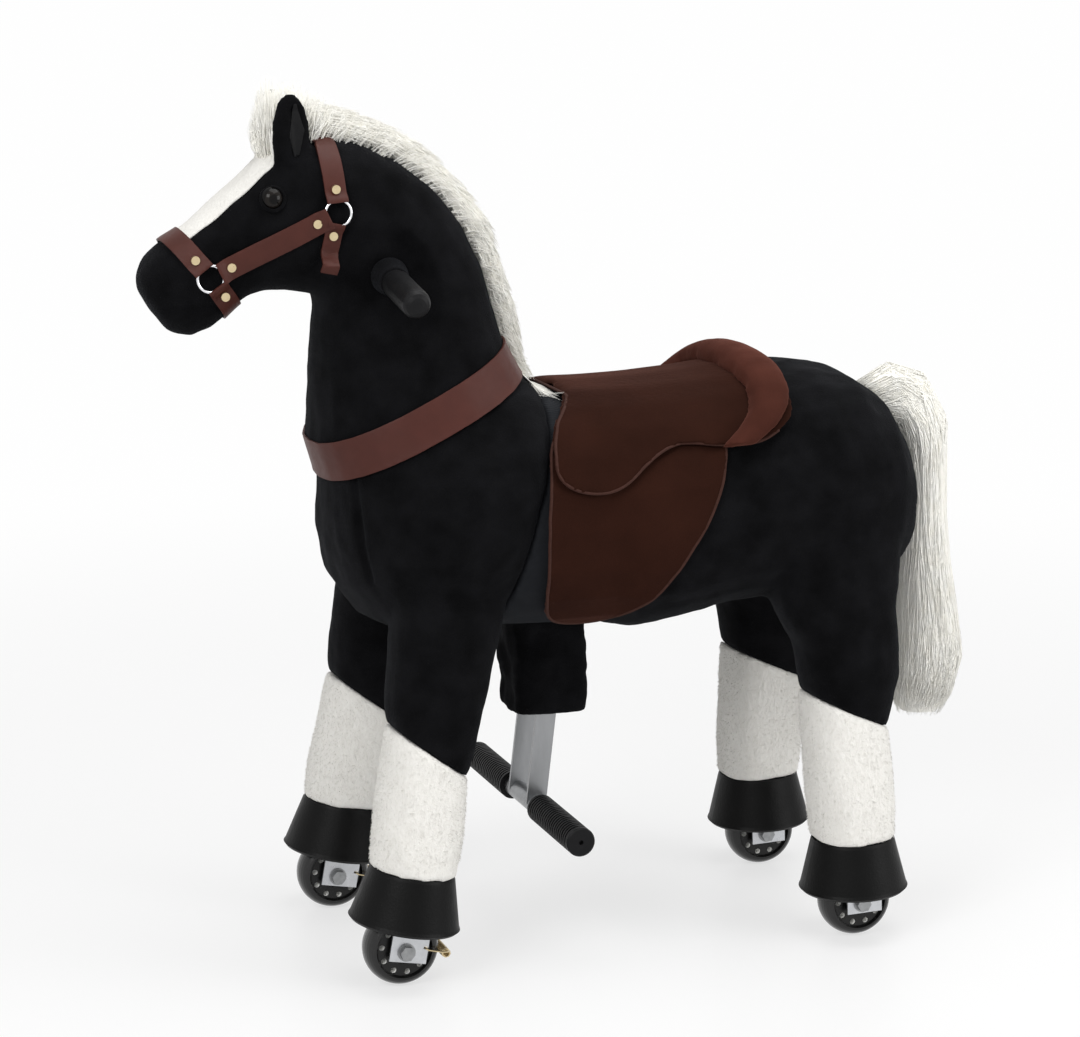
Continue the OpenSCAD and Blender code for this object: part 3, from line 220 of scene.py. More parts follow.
def cad_copy(name, *members):
    bm = bmesh.new()
    for member in members:
        bm.from_mesh(nodes[member].data)
    bmesh.ops.remove_doubles(bm, verts=bm.verts, dist=1e-5)
    return new_mesh(name, bm)


def hull(name, points):
    bm = bmesh.new()
    for point in points:
        bm.verts.new(point)
    found = bmesh.ops.convex_hull(bm, input=bm.verts)
    inner = [v for v in found["geom_interior"] if isinstance(v, bmesh.types.BMVert)]
    bmesh.ops.delete(bm, geom=inner, context="VERTS")
    return new_mesh(name, bm)


def join(first, *others):
    only(first)
    for other in others:
        other.select_set(True)
    bpy.ops.object.join()
    return first


def modify(obj, kind, **settings):
    only(obj)
    made = obj.modifiers.new(kind.lower(), kind)
    for key, value in settings.items():
        setattr(made, key, value)
    bpy.ops.object.modifier_apply(modifier=made.name)
    return obj


def ease(obj, voxel, rounds, factor=0.5):
    """Fuses an object's closed parts and eases the joins."""
    modify(obj, "REMESH", mode="VOXEL", voxel_size=voxel, adaptivity=0)
    modify(obj, "SMOOTH", factor=factor, iterations=rounds)
    only(obj)
    bpy.ops.object.shade_smooth()
    return obj


def lumps(name, size):
    made = bpy.data.textures.new(name, "CLOUDS")
    made.noise_scale = size
    made.noise_depth = 2
    return made


def corners(node):
    return [v.co.copy() for v in nodes[node].data.vertices]


def round_bar(radius, length, place, turn):
    bpy.ops.object.select_all(action="DESELECT")
    bpy.ops.mesh.primitive_cylinder_add(
        vertices=24, radius=radius, depth=length, location=place, rotation=turn
    )
    bpy.ops.object.transform_apply()
    return bpy.context.object


def drop_inside(obj):
    """Deletes the closed skins that lie inside the largest one."""
    bm = bmesh.new()
    bm.from_mesh(obj.data)
    unseen, groups = set(bm.verts), []
    while unseen:
        group, edge = set(), [unseen.pop()]
        while edge:
            vert = edge.pop()
            group.add(vert)
            for link in vert.link_edges:
                other = link.other_vert(vert)
                if other in unseen:
                    unseen.discard(other)
                    edge.append(other)
        groups.append(group)
    largest = max(groups, key=len)
    bmesh.ops.delete(bm, geom=[v for g in groups if g is not largest for v in g], context="VERTS")
    bm.to_mesh(obj.data)
    bm.free()


def skin_tree(obj):
    bm = bmesh.new()
    bm.from_mesh(obj.data)
    tree = BVHTree.FromBMesh(bm)
    bm.free()
    return tree


def press(obj, path, width, depth):
    """Presses a seam into both sides of a skin, along a run of side view points."""
    tree = skin_tree(obj)
    path = [tree.ray_cast((x, 0.5, z), (0, -1, 0))[0] for x, z in path]
    runs = [(a, b - a) for a, b in zip(path, path[1:])]
    for vert in obj.data.vertices:
        spot = Vector((vert.co.x, abs(vert.co.y), vert.co.z))
        shares = [min(1, max(0, (spot - a).dot(run) / run.length_squared)) for a, run in runs]
        near = min((spot - a - run * share).length for (a, run), share in zip(runs, shares))
        if near < 3 * width:
            vert.co -= vert.normal * depth * math.exp(-((near / width) ** 2))


def dent(obj, texture, strength, level):
    """Soft unevenness from a noise texture."""
    modify(obj, "DISPLACE", texture=texture, strength=strength, mid_level=level, texture_coords="LOCAL")


coat_voxel = 0.0046
coat_rounds = 8
chest_fill = hull("chest_fill", corners("chest"))
handle_fill = round_bar(0.045, 0.128, (0.2165, 0, 0.7305), (math.pi / 2, 0, 0))
ear_low, ear_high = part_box("ears")
ear_mid = (ear_low[0] + ear_high[0]) / 2
ear_fill = cad_copy("ear_fill", "ears")
ear_stretch = 0.1
for vert in ear_fill.data.vertices:
    vert.co.z += ear_stretch * (vert.co.z - ear_low[2])
front_coat = cad_copy("front_coat", "neck", "head", "front_leg_left", "front_leg_right")
join(front_coat, chest_fill, handle_fill, ear_fill)
ease(front_coat, coat_voxel, coat_rounds)
drop_inside(front_coat)
strap_form = bpy.data.objects.new("strap_form", front_coat.data.copy())
bpy.context.scene.collection.objects.link(strap_form)
modify(strap_form, "SMOOTH", factor=0.5, iterations=5)
soft_lumps = lumps("soft_lumps", 0.035)
dent(front_coat, soft_lumps, 0.0035, 0.5)
# A dish on each side of the neck leaves room for the grips as the handles turn.
dish_centre, dish_y, dish_radius, dish_curve = (0.232, 0.7285), 0.0525, 0.024, 10
for vert in front_coat.data.vertices:
    far = math.dist((vert.co.x, vert.co.z), dish_centre)
    room = dish_y + dish_curve * max(0, far - dish_radius) ** 2
    vert.co.y = math.copysign(min(abs(vert.co.y), room), vert.co.y)
leg_seam = [(0.262, 0.535), (0.258, 0.48), (0.25, 0.42)]
mouth = [(0.374, 0.706), (0.4, 0.702), (0.425, 0.7), (0.443, 0.703)]
jaw_crease = [(0.2935, 0.738), (0.283, 0.747), (0.274, 0.758), (0.269, 0.776)]
ear_hollow = [(ear_mid - 0.005, ear_high[2] - 0.056), (ear_mid - 0.003, ear_high[2] - 0.012)]
press(front_coat, leg_seam, 0.004, 0.004)
press(front_coat, mouth, 0.004, 0.0035)
press(front_coat, jaw_crease, 0.005, 0.0055)
press(front_coat, ear_hollow, 0.006, 0.006)
black_plush = Finish("black_plush")
pile = black_plush.grain(1500, 3)
brushed = black_plush.grain(30, 4)
tufts = black_plush.grain(520, 2)
black_plush.set(
    Base_Color=black_plush.mix(
        black_plush.steps(brushed, (0.3, 0), (0.7, 1)), (0.0018, 0.0018, 0.0021), (0.0058, 0.0058, 0.0067)
    ),
    Roughness=0.95,
    Sheen_Weight=0.025,
    Sheen_Roughness=0.35,
    Sheen_Tint=(0.8, 0.86, 1, 1),
    Specular_IOR_Level=0.06,
    Normal=black_plush.bump(pile * 0.5 + tufts * 0.6 + brushed * 0.6, 0.0022, 0.6),
)
front_coat.data.materials.append(black_plush.material)
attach(front_coat, "front")
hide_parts("chest", "neck", "head", "ears", "front_leg_left", "front_leg_right")

# Rear coat. The same plush over the barrel, the rump and the hind legs, sewn as one skin
# and stuffed round the rear frame.
rear_coat = cad_copy("rear_coat", "barrel", "hind_leg_left", "hind_leg_right")
barrel_fill = hull("barrel_fill", [p for p in corners("barrel") if p.x > -0.06])
leg_y = 0.136
plug_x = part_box("hind_axles")[0][0] + 0.022
hind_plugs = [round_bar(0.0165, 0.16, (plug_x, side * leg_y, 0.36), (0, 0, 0)) for side in (-1, 1)]
join(rear_coat, barrel_fill, *hind_plugs)
ease(rear_coat, coat_voxel, coat_rounds)
drop_inside(rear_coat)
dent(rear_coat, soft_lumps, 0.0035, 0.5)
rear_coat.data.materials.append(black_plush.material)
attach(rear_coat, "rear")
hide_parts("barrel", "hind_leg_left", "hind_leg_right")

# Stretch panel. A smooth black knit band that is sewn between the two coats and gives
# when the frame opens. It is a closed stuffed form a little inside the coats' edges.
panel = hull("stretch_panel_knit", corners("stretch_panel"))
ease(panel, coat_voxel, 6)
dent(panel, lumps("panel_folds", 0.05), 0.003, 0.7)
stretch_knit = Finish("stretch_knit")
ribs = stretch_knit.node(
    "ShaderNodeTexWave",
    {"bands_direction": "Z"},
    {"Vector": stretch_knit.place(), "Scale": 220.0, "Distortion": 0.6},
)
stretch_knit.set(
    Base_Color=stretch_knit.mix(stretch_knit.grain(60, 3), (0.011, 0.012, 0.0145), (0.0175, 0.0188, 0.022)),
    Roughness=0.85,
    Specular_IOR_Level=0.1,
    Normal=stretch_knit.bump(ribs, 0.0004, 0.6),
)
panel.data.materials.append(stretch_knit.material)
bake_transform(panel)
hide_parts("stretch_panel")

# Socks. White plush sleeves on the lower legs, cut on a slant at the top and sewn to the
# black legs. A short pile, brushed down, stands on them as fuzz.
white_plush = Finish("white_plush")
white_pile = white_plush.grain(900, 3)
white_tufts = white_plush.grain(330, 3, (1, 1, 0.45))
white_brushed = white_plush.grain(26, 3)
white_plush.set(
    Base_Color=white_plush.mix(
        white_plush.steps(white_tufts * 0.7 + white_brushed * 0.3, (0.3, 0), (0.62, 1)),
        (0.775, 0.757, 0.715),
        (0.84, 0.825, 0.785),
    ),
    Roughness=0.95,
    Sheen_Weight=0.1,
    Sheen_Roughness=0.5,
    Specular_IOR_Level=0.08,
    Normal=white_plush.bump(white_pile * 0.4 + white_tufts * 0.8 + white_brushed * 0.6, 0.0028, 0.6),
)
hair_draw = np.random.default_rng(11)


def strands(name, paths, widths, sides):
    """Closed slim tubes, one to a path, each with its width at every point."""
    paths, widths = np.asarray(paths, dtype=float), np.asarray(widths, dtype=float)
    count, rings = paths.shape[:2]
    ahead = np.gradient(paths, axis=1)
    ahead /= np.linalg.norm(ahead, axis=2, keepdims=True) + 1e-12
    helper = np.where(np.abs(ahead[..., 1:2]) > 0.9, [[[1.0, 0, 0]]], [[[0, 1.0, 0]]])
    across = np.cross(ahead, helper)
    across /= np.linalg.norm(across, axis=2, keepdims=True)
    up = np.cross(across, ahead)
    turns = np.arange(sides) * 2 * math.pi / sides
    spokes = np.cos(turns)[:, None] * across[:, :, None, :]
    spokes = spokes + np.sin(turns)[:, None] * up[:, :, None, :]
    points = paths[:, :, None, :] + widths[:, :, None, None] * spokes
    faces = []
    for first in range(0, count * rings * sides, rings * sides):
        for ring in range(first, first + (rings - 1) * sides, sides):
            for k in range(sides):
                after = (k + 1) % sides
                faces.append((ring + k, ring + sides + k, ring + sides + after, ring + after))
        faces.append(tuple(range(first, first + sides)))
        faces.append(tuple(range(first + rings * sides - 1, first + (rings - 1) * sides - 1, -1)))
    mesh = bpy.data.meshes.new(name)
    mesh.from_pydata(points.reshape(-1, 3).tolist(), [], faces)
    made = bpy.data.objects.new(name, mesh)
    bpy.context.scene.collection.objects.link(made)
    only(made)
    bpy.ops.object.mode_set(mode="EDIT")
    bpy.ops.mesh.select_all(action="SELECT")
    bpy.ops.mesh.normals_make_consistent(inside=False)
    bpy.ops.object.mode_set(mode="OBJECT")
    bpy.ops.object.shade_smooth()
    return made


def scatter(obj, count):
    """Random points on a skin, evenly by area, with the way out at each."""
    obj.data.calc_loop_triangles()
    spots = np.array([v.co for v in obj.data.vertices])
    corner = spots[np.array([t.vertices[:] for t in obj.data.loop_triangles])]
    out = np.cross(corner[:, 1] - corner[:, 0], corner[:, 2] - corner[:, 0])
    area = np.linalg.norm(out, axis=1)
    pick = hair_draw.choice(len(area), count, p=area / area.sum())
    a, b = np.sqrt(hair_draw.uniform(0, 1, (count, 1))), hair_draw.uniform(0, 1, (count, 1))
    points = corner[pick, 0] * (1 - a) + corner[pick, 1] * a * (1 - b) + corner[pick, 2] * a * b
    return points, out[pick] / area[pick][:, None]


fuzz_count = 13000
fuzz_shares = (-0.2, 0.5, 1)
brushed_down = np.array([0, 0, -1])
for end, body in (("front", "front"), ("hind", "rear")):
    socks = cad_copy(f"{end}_sock_plush", f"{end}_socks")
    ease(socks, 0.0038, 5)
    dent(socks, soft_lumps, 0.003, 0.3)
    socks.data.materials.append(white_plush.material)
    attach(socks, body)
    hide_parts(f"{end}_socks")
    roots, out = scatter(socks, fuzz_count)
    hoof_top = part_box(f"{end}_hooves")[1][2]
    shown = (roots[:, 2] > hoof_top + 0.002) & (np.abs(out[:, 2]) < 0.7)
    roots, out = roots[shown], out[shown]
    reach = hair_draw.uniform(0.0013, 0.0026, (len(roots), 1))
    fuzz_paths = [
        roots + reach * (out * (0.9 * share - 0.25 * share**2) + brushed_down * 0.6 * share**2)
        for share in fuzz_shares
    ]
    fuzz_widths = np.outer(hair_draw.uniform(0.0002, 0.0004, len(roots)), [1, 0.8, 0.2])
    fuzz = strands(f"{end}_sock_fuzz", np.stack(fuzz_paths, axis=1), fuzz_widths, 3)
    fuzz.data.materials.append(white_plush.material)
    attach(fuzz, body)

# Pedal boot. A plush bag sewn under the belly, slack and a little gathered, that hides the
# top of the foot bar's struts.
boot_points = corners("pedal_boot")
boot_top = max(p.z for p in boot_points)
boot_tucked = [p + Vector((0, 0, 0.02)) for p in boot_points if p.z > boot_top - 0.03]
boot = hull("boot_plush", boot_points + boot_tucked)
ease(boot, 0.004, 10)
dent(boot, lumps("boot_lumps", 0.028), 0.012, 0.45)
modify(boot, "SMOOTH", factor=0.5, iterations=2)
boot.data.materials.append(black_plush.material)
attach(boot, "front")
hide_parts("pedal_boot")

# Hooves. Moulded black rubber cups, satin with a faint grain. Each sits on the end of a leg,
# under its sock, and hides the top of a wheel.
hoof_rubber = Finish("hoof_rubber")
hoof_grain = hoof_rubber.grain(420, 3)
hoof_rubber.set(
    Base_Color=hoof_rubber.mix(
        hoof_rubber.grain(35, 4), (0.0018, 0.0018, 0.0018), (0.0042, 0.0042, 0.0042)
    ),
    Roughness=hoof_rubber.grain(60, 3) * 0.2 + 0.34,
    Specular_IOR_Level=0.1,
    Normal=hoof_rubber.bump(hoof_grain, 0.0006, 0.5),
)


def finish_node(node, finish):
    nodes[node].data.materials.clear()
    nodes[node].data.materials.append(finish.material)


for node in ("front_hooves", "hind_hooves"):
    finish_node(node, hoof_rubber)

# Wheels. Glossy black tyres on black hubs, which turn on steel bearings and axle bolts. Each
# hub has a ring of windows whose walls are painted near-white, a painted stand-in for the
# light of the floor seen through them, masked by their distance from the axle.
tyre_black = Finish("tyre_black")
tyre_black.set(
    Base_Color=tyre_black.mix(tyre_black.grain(50, 4), (0.004, 0.004, 0.004), (0.011, 0.011, 0.011)),
    Roughness=tyre_black.grain(90, 3) * 0.16 + 0.14,
    Specular_IOR_Level=0.3,
    Coat_Weight=0.25,
    Coat_Roughness=0.08,
)
zinc = Finish("zinc")
zinc.set(
    Base_Color=zinc.mix(zinc.grain(160, 4), (0.46, 0.47, 0.49), (0.62, 0.63, 0.65)),
    Metallic=1.0,
    Roughness=zinc.grain(300, 3) * 0.22 + 0.2,
    Normal=zinc.bump(zinc.grain(900, 2), 0.0002, 0.4),
)
hub_black = Finish("hub_black")
hub_x = hub_black.node("ShaderNodeSeparateXYZ", inputs={0: hub_black.place()})
hub_y, hub_z = (Wire(hub_black, hub_x.socket.node.outputs[k]) for k in (1, 2))
wheelbase, hind_wheel_x, axle_z = 0.513, -0.279, 0.04
window_radius, window_half, hub_half = 0.024, 0.0034, 0.0141
hub_along = hub_x - (hub_x.math("GREATER_THAN", hub_x, 0.0) * wheelbase + hind_wheel_x)
hub_up = hub_z - axle_z
hub_reach = hub_x.math("SQRT", hub_along * hub_along + hub_up * hub_up, 0.0)
hub_side = hub_x.math("ABSOLUTE", hub_y, 0.0)
# The window walls get a near-white colour: painted light, standing for the bright floor seen through the
# hub.
window_light_ring, window_light_depth = (
    hub_black.node("ShaderNodeMath", {"operation": "COMPARE"}, {0: measure, 1: middle, 2: half})
    for measure, middle, half in ((hub_reach, window_radius, window_half), (hub_side, leg_y, hub_half))
)
hub_black.set(
    Base_Color=hub_black.mix(window_light_ring * window_light_depth, (0.006, 0.006, 0.006), (0.95, 0.95, 0.93)),
    Roughness=hub_black.grain(90, 3) * 0.16 + 0.2,
    Specular_IOR_Level=0.3,
)
bolt_steel = Finish("bolt_steel")
bolt_steel.set(
    Base_Color=bolt_steel.mix(bolt_steel.grain(220, 4), (0.2, 0.205, 0.21), (0.38, 0.385, 0.39)),
    Metallic=1.0,
    Roughness=bolt_steel.grain(260, 3) * 0.25 + 0.22,
)
for end in ("front", "hind"):
    for side in ("left", "right"):
        finish_node(f"tyre_{end}_{side}", tyre_black)
        finish_node(f"hub_{end}_{side}", hub_black)
        finish_node(f"bearings_{end}_{side}", zinc)
for node in ("hind_axles", "front_axle_left", "front_axle_right", "hinge_bolt"):
    finish_node(node, bolt_steel)

# Forks, column, cables and springs. Zinc plated steel, with a greyer steel for the foot
# bar's struts. The small drag springs and the bridle's rivets are the colour of brass.
strut_steel = Finish("strut_steel")
strut_steel.set(
    Base_Color=strut_steel.mix(
        strut_steel.grain(120, 4, (1, 1, 0.2)), (0.24, 0.245, 0.25), (0.34, 0.345, 0.355)
    ),
    Metallic=1.0,
    Roughness=strut_steel.grain(280, 3) * 0.2 + 0.24,
    Normal=strut_steel.bump(strut_steel.grain(900, 2), 0.0002, 0.4),
)
finish_node("pedal_strut", strut_steel)
for node in ("hind_forks", "fork_left", "fork_right", "steering_column", "steering_cables", "main_spring"):
    finish_node(node, zinc)
brass = Finish("brass")
brass.set(
    Base_Color=brass.mix(brass.grain(200, 3), (0.55, 0.44, 0.26), (0.72, 0.6, 0.38)),
    Metallic=1.0,
    Roughness=brass.grain(150, 3) * 0.2 + 0.2,
)
for node in ("drag_spring_left", "drag_spring_right", "bridle_rivets"):
    finish_node(node, brass)

# Inner frame. Black powder coat on the welded tubes and the handle bar, and bare plywood for
# the seat board, which lies under the saddle. The coats hide almost all of it.
frame_paint = Finish("frame_paint")
frame_paint.set(
    Base_Color=frame_paint.mix(frame_paint.grain(90, 3), (0.012, 0.012, 0.013), (0.022, 0.022, 0.024)),
    Roughness=frame_paint.grain(250, 2) * 0.2 + 0.4,
    Normal=frame_paint.bump(frame_paint.grain(700, 2), 0.0003, 0.5),
)
for node in ("rear_frame", "front_frame", "handle_bar"):
    finish_node(node, frame_paint)
plywood = Finish("plywood")
plies = plywood.node(
    "ShaderNodeTexWave",
    {"bands_direction": "Y"},
    {"Vector": plywood.place(), "Scale": 40.0, "Distortion": 6.0},
)
plywood.set(Base_Color=plywood.mix(plies, (0.5, 0.36, 0.21), (0.63, 0.48, 0.3)), Roughness=0.7)
finish_node("seat_board", plywood)

# Grips. Ribbed black rubber on the foot bar, and smooth black rubber pushed on to the two
# ends of the handle bar.
grip_rubber = Finish("grip_rubber")
grip_rubber.set(
    Base_Color=grip_rubber.mix(grip_rubber.grain(80, 3), (0.0036, 0.0036, 0.004), (0.0078, 0.0078, 0.0086)),
    Roughness=grip_rubber.grain(120, 3) * 0.2 + 0.36,
    Specular_IOR_Level=0.13,
    Normal=grip_rubber.bump(grip_rubber.grain(600, 2), 0.0004, 0.5),
)
for node in ("pedal_grips", "hand_grips"):
    finish_node(node, grip_rubber)

# Saddle. Dark red-brown suede: two flaps, a seat pad over them and a stuffed cantle roll,
# edged with a thin cord under the same suede. The roll and the cord are given lighter copies
# of the suede as painted light: the roll's brighter lit face and a highlight along the cord.
def suede_finish(name, dark, light):
    made = Finish(name)
    nap = made.steps(made.grain(14, 5), (0.3, 0), (0.72, 1))
    made.set(
        Base_Color=made.mix(nap, dark, light),
        Roughness=0.92,
        Sheen_Weight=0.15,
        Sheen_Roughness=0.3,
        Sheen_Tint=(1, 0.42, 0.32, 1),
        Specular_IOR_Level=0.05,
        Normal=made.bump(made.grain(700, 3) * 0.4 + made.grain(140, 3) * 0.5, 0.0012, 0.7),
    )
    return made


suede = suede_finish("suede", (0.0185, 0.0062, 0.0037), (0.0275, 0.0092, 0.0056))
# The roll's suede is the seat's suede painted lighter: painted light for the top lamp's fall on it.
lit_roll_suede = suede_finish("lit_roll_suede", (0.044, 0.0138, 0.0092), (0.075, 0.024, 0.0165))


def puff(obj, cap, pressure=4.0):
    """Blows a stuffed piece up as cloth, each point no farther than cap."""
    still = np.array([v.co for v in obj.data.vertices])
    only(obj)
    cloth = obj.modifiers.new("cloth", "CLOTH").settings
    cloth.use_pressure = True
    cloth.uniform_pressure_force = pressure
    cloth.effector_weights.gravity = 0
    for frame_number in range(1, 21):
        bpy.context.scene.frame_set(frame_number)
    bpy.ops.object.modifier_apply(modifier="cloth")
    bpy.context.scene.frame_set(1)
    moves = np.array([v.co for v in obj.data.vertices]) - still
    far = np.linalg.norm(moves, axis=1, keepdims=True)
    still += moves * np.minimum(1, cap / np.maximum(far, 1e-9))
    obj.data.vertices.foreach_set("co", still.ravel())
    obj.data.update()
    modify(obj, "SMOOTH", factor=0.5, iterations=3)
    return obj


saddle = {}
for name, node, voxel, rounds, finish in (
    ("flap_suede", "saddle_flaps", 0.0022, 4, suede),
    ("seat_suede", "saddle_seat", 0.003, 12, suede),
    ("cantle_suede", "cantle_roll", 0.0034, 8, lit_roll_suede),
):
    made = cad_copy(name, node)
    ease(made, voxel, rounds)
    made.data.materials.append(finish.material)
    saddle[node] = made
    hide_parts(node)
flaps, seat, cantle = (saddle[node] for node in ("saddle_flaps", "saddle_seat", "cantle_roll"))
puff(cantle, 0.006)


def ramp(value, start, run):
    """Rises from 0 to 1 over a run."""
    return min(1, max(0, (value - start) / run))


seat_ends = [v.co.x for v in seat.data.vertices]
seat_ends = (min(seat_ends), max(seat_ends))
seat_top = seat.vertex_groups.new(name="top")
for vert in seat.data.vertices:
    inside = min(vert.co.x - seat_ends[0], seat_ends[1] - vert.co.x)
    seat_top.add([vert.index], ramp(inside, 0.008, 0.03) * ramp(vert.co.z, 0.555, 0.03), "REPLACE")
modify(seat, "SMOOTH", factor=0.5, iterations=60, vertex_group="top")
seat.vertex_groups.clear()
seat_shift, hinge_z = 0.0085, 0.5457
for vert in seat.data.vertices:
    vert.co.x += seat_shift * ramp(vert.co.x, -0.03, 0.04) * ramp(vert.co.z, hinge_z, 0.06)
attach(flaps, "rear")
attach(cantle, "rear")
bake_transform(seat)


def even(path, step):
    """Points at equal steps along a run of points."""
    points = np.array(path, dtype=float)
    along = np.concatenate([[0], np.cumsum(np.linalg.norm(np.diff(points, axis=0), axis=1))])
    places = np.linspace(0, along[-1], max(2, int(along[-1] / step)))
    return np.stack([np.interp(places, along, points[:, k]) for k in range(points.shape[1])], axis=1)


def edge_run(tree, side, centre, turns):
    """A skin's edge as the side view shows it, found outwards from a centre."""
    run = []
    for turn in np.radians(turns):
        found = None
        for reach in np.arange(0.006, 0.3, 0.0015):
            x, z = centre[0] + reach * math.cos(turn), centre[1] + reach * math.sin(turn)
            hit = tree.ray_cast((x, side * 0.5, z), (0, -side, 0))[0]
            if not hit or hit.y * side < 0.02:
                break
            found = hit
        run.append(found)
    return run


def piping(name, paths):
    made = []
    for path in paths:
        line = even(path, 0.004)
        for _ in range(4):
            line[1:-1] = (line[:-2] + 2 * line[1:-1] + line[2:]) / 4
        made.append(strands(name, [line], [np.full(len(line), cord_radius)], 8))
    made = join(*made)
    made.data.materials.append(lit_piping_suede.material)
    return made


cord_radius = 0.0018
# The cord's suede is painted lighter than the saddle's: a painted highlight along the edge.
lit_piping_suede = Finish("lit_piping_suede")
lit_piping_suede.set(
    Base_Color=lit_piping_suede.mix(lit_piping_suede.grain(300, 3), (0.028, 0.0105, 0.0072), (0.06, 0.0245, 0.018)),
    Roughness=0.8,
    Specular_IOR_Level=0.15,
    Normal=lit_piping_suede.bump(lit_piping_suede.grain(900, 2), 0.0006, 0.6),
)
flap_tree, seat_tree = skin_tree(flaps), skin_tree(seat)
flap_runs = [edge_run(flap_tree, side, (0.0, 0.45), np.linspace(120, 420, 150)) for side in (1, -1)]
flap_piping = piping("flap_piping", [[p for p in run if p and p.z < 0.57] for run in flap_runs])
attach(flap_piping, "rear")
seat_run = [p for p in edge_run(seat_tree, 1, (0.0, 0.575), np.linspace(184, 395, 150)) if p]
front_x = seat_run[-1].x - 0.002
front_arc = []
for turn in np.radians(np.linspace(52, -52, 40)):
    place = Vector((front_x, 0.4 * math.sin(turn), 0.48 + 0.4 * math.cos(turn)))
    hit = seat_tree.ray_cast(place, Vector((front_x, 0, 0.48)) - place)[0]
    if hit and abs(hit.y) < abs(seat_run[-1].y) - 0.004:
        front_arc.append(hit)
seat_back = [Vector((p.x, -p.y, p.z)) for p in reversed(seat_run)]
seat_piping = piping("seat_piping", [seat_run + front_arc + seat_back])
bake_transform(seat_piping)

# Straps. Smooth red-brown leatherette: a broad breast collar, and a bridle of noseband,
# cheek straps and headstall. Each lies on the coat under its own tension.
leatherette = Finish("leatherette")
leather_grain = leatherette.node(
    "ShaderNodeTexVoronoi", {"feature": "DISTANCE_TO_EDGE"}, {"Vector": leatherette.place(), "Scale": 900.0}
)
leatherette.set(
    Base_Color=leatherette.mix(leatherette.grain(60, 4), (0.046, 0.0118, 0.008), (0.07, 0.0188, 0.0132)),
    Roughness=leatherette.grain(160, 3) * 0.2 + 0.4,
    Specular_IOR_Level=0.2,
    Normal=leatherette.bump(leather_grain, 0.0004, 0.35),
)


def cut_copy(name, source, cuts):
    """What is left of a skin after plane cuts; each cut is a point and the way that goes."""
    made = bpy.data.objects.new(name, source.data.copy())
    bpy.context.scene.collection.objects.link(made)
    made.data.materials.clear()
    only(made)
    bpy.ops.object.mode_set(mode="EDIT")
    for point, away in cuts:
        bpy.ops.mesh.select_all(action="SELECT")
        bpy.ops.mesh.bisect(plane_co=point, plane_no=away, clear_outer=True)
    bpy.ops.object.mode_set(mode="OBJECT")
    return made


def slab(centre, turn, width, start=None, end=None):
    """Cuts that leave a strip along a turn in the horse's side view, from start to end."""
    run = Vector((math.cos(math.radians(turn)), 0, math.sin(math.radians(turn))))
    rise = Vector((-run.z, 0, run.x))
    middle = Vector((centre[0], 0, centre[1]))
    cuts = [(middle + rise * width / 2, rise), (middle - rise * width / 2, -rise)]
    if start is not None:
        cuts.append((middle + run * start, -run))
    if end is not None:
        cuts.append((middle + run * end, run))
    return cuts


ring_low, ring_up = (0.40114, 0.73295), (0.271917, 0.796597)
ring_gap, bridle_w = 0.0105, 0.022
strap_rise, ring_rise, tuck = 0.0036, 0.0058, 0.02


def strip(name, centre, turn, width, start=None, end=None, rings=(), sunk=None):
    """A strip of the coat's form, raised over each ring that it holds and sunk at a hidden end."""
    made = cut_copy(name, strap_form, slab(centre, turn, width, start, end))
    modify(made, "DISPLACE", strength=strap_rise, mid_level=0)
    run = (math.cos(math.radians(turn)), math.sin(math.radians(turn)))
    for vert in made.data.vertices:
        place = (vert.co.x - centre[0]) * run[0] + (vert.co.z - centre[1]) * run[1]
        lift = max((ramp(0.02 - abs(place - ring), 0, 0.006) for ring in rings), default=0) * ring_rise
        if sunk:
            lift -= tuck * ramp(place, sunk, 0.01)
        vert.co.y += math.copysign(lift, vert.co.y)
    return made


for name, node, strips in (
    ("collar_strap", "breast_collar", [((0.18054, 0.58561), 153.36, 0.04)]),
    ("nose_strap", "noseband", [
        (ring_low, 52, bridle_w, ring_gap, None, (0,)),
        (ring_low, 232, bridle_w, ring_gap, 0.075, (0,)),
    ]),
    ("cheek_strap", "cheek_straps", [(ring_low, 153.78, bridle_w, ring_gap, 0.1335, (0, 0.144))]),
    ("head_strap", "headstall", [
        (ring_up, 86, bridle_w, ring_gap, None, (0,)),
        (ring_up, 282, 0.018, ring_gap, 0.06, (0,), 0.042),
    ]),
):
    strap = join(*[strip(name, *values) for values in strips])
    modify(strap, "SOLIDIFY", thickness=0.0022, offset=-1)
    modify(strap, "BEVEL", width=0.0006, segments=2, limit_method="ANGLE", angle_limit=math.radians(50))
    only(strap)
    bpy.ops.object.shade_smooth_by_angle(angle=math.radians(40))
    strap.data.materials.append(leatherette.material)
    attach(strap, "front")
    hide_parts(node)
bpy.data.objects.remove(strap_form)
chrome = Finish("chrome")
chrome.set(
    Base_Color=chrome.mix(chrome.grain(150, 2), (0.76, 0.76, 0.78), (0.86, 0.86, 0.88)),
    Metallic=1.0,
    Roughness=chrome.grain(200, 2) * 0.1 + 0.06,
)
finish_node("bridle_rings", chrome)

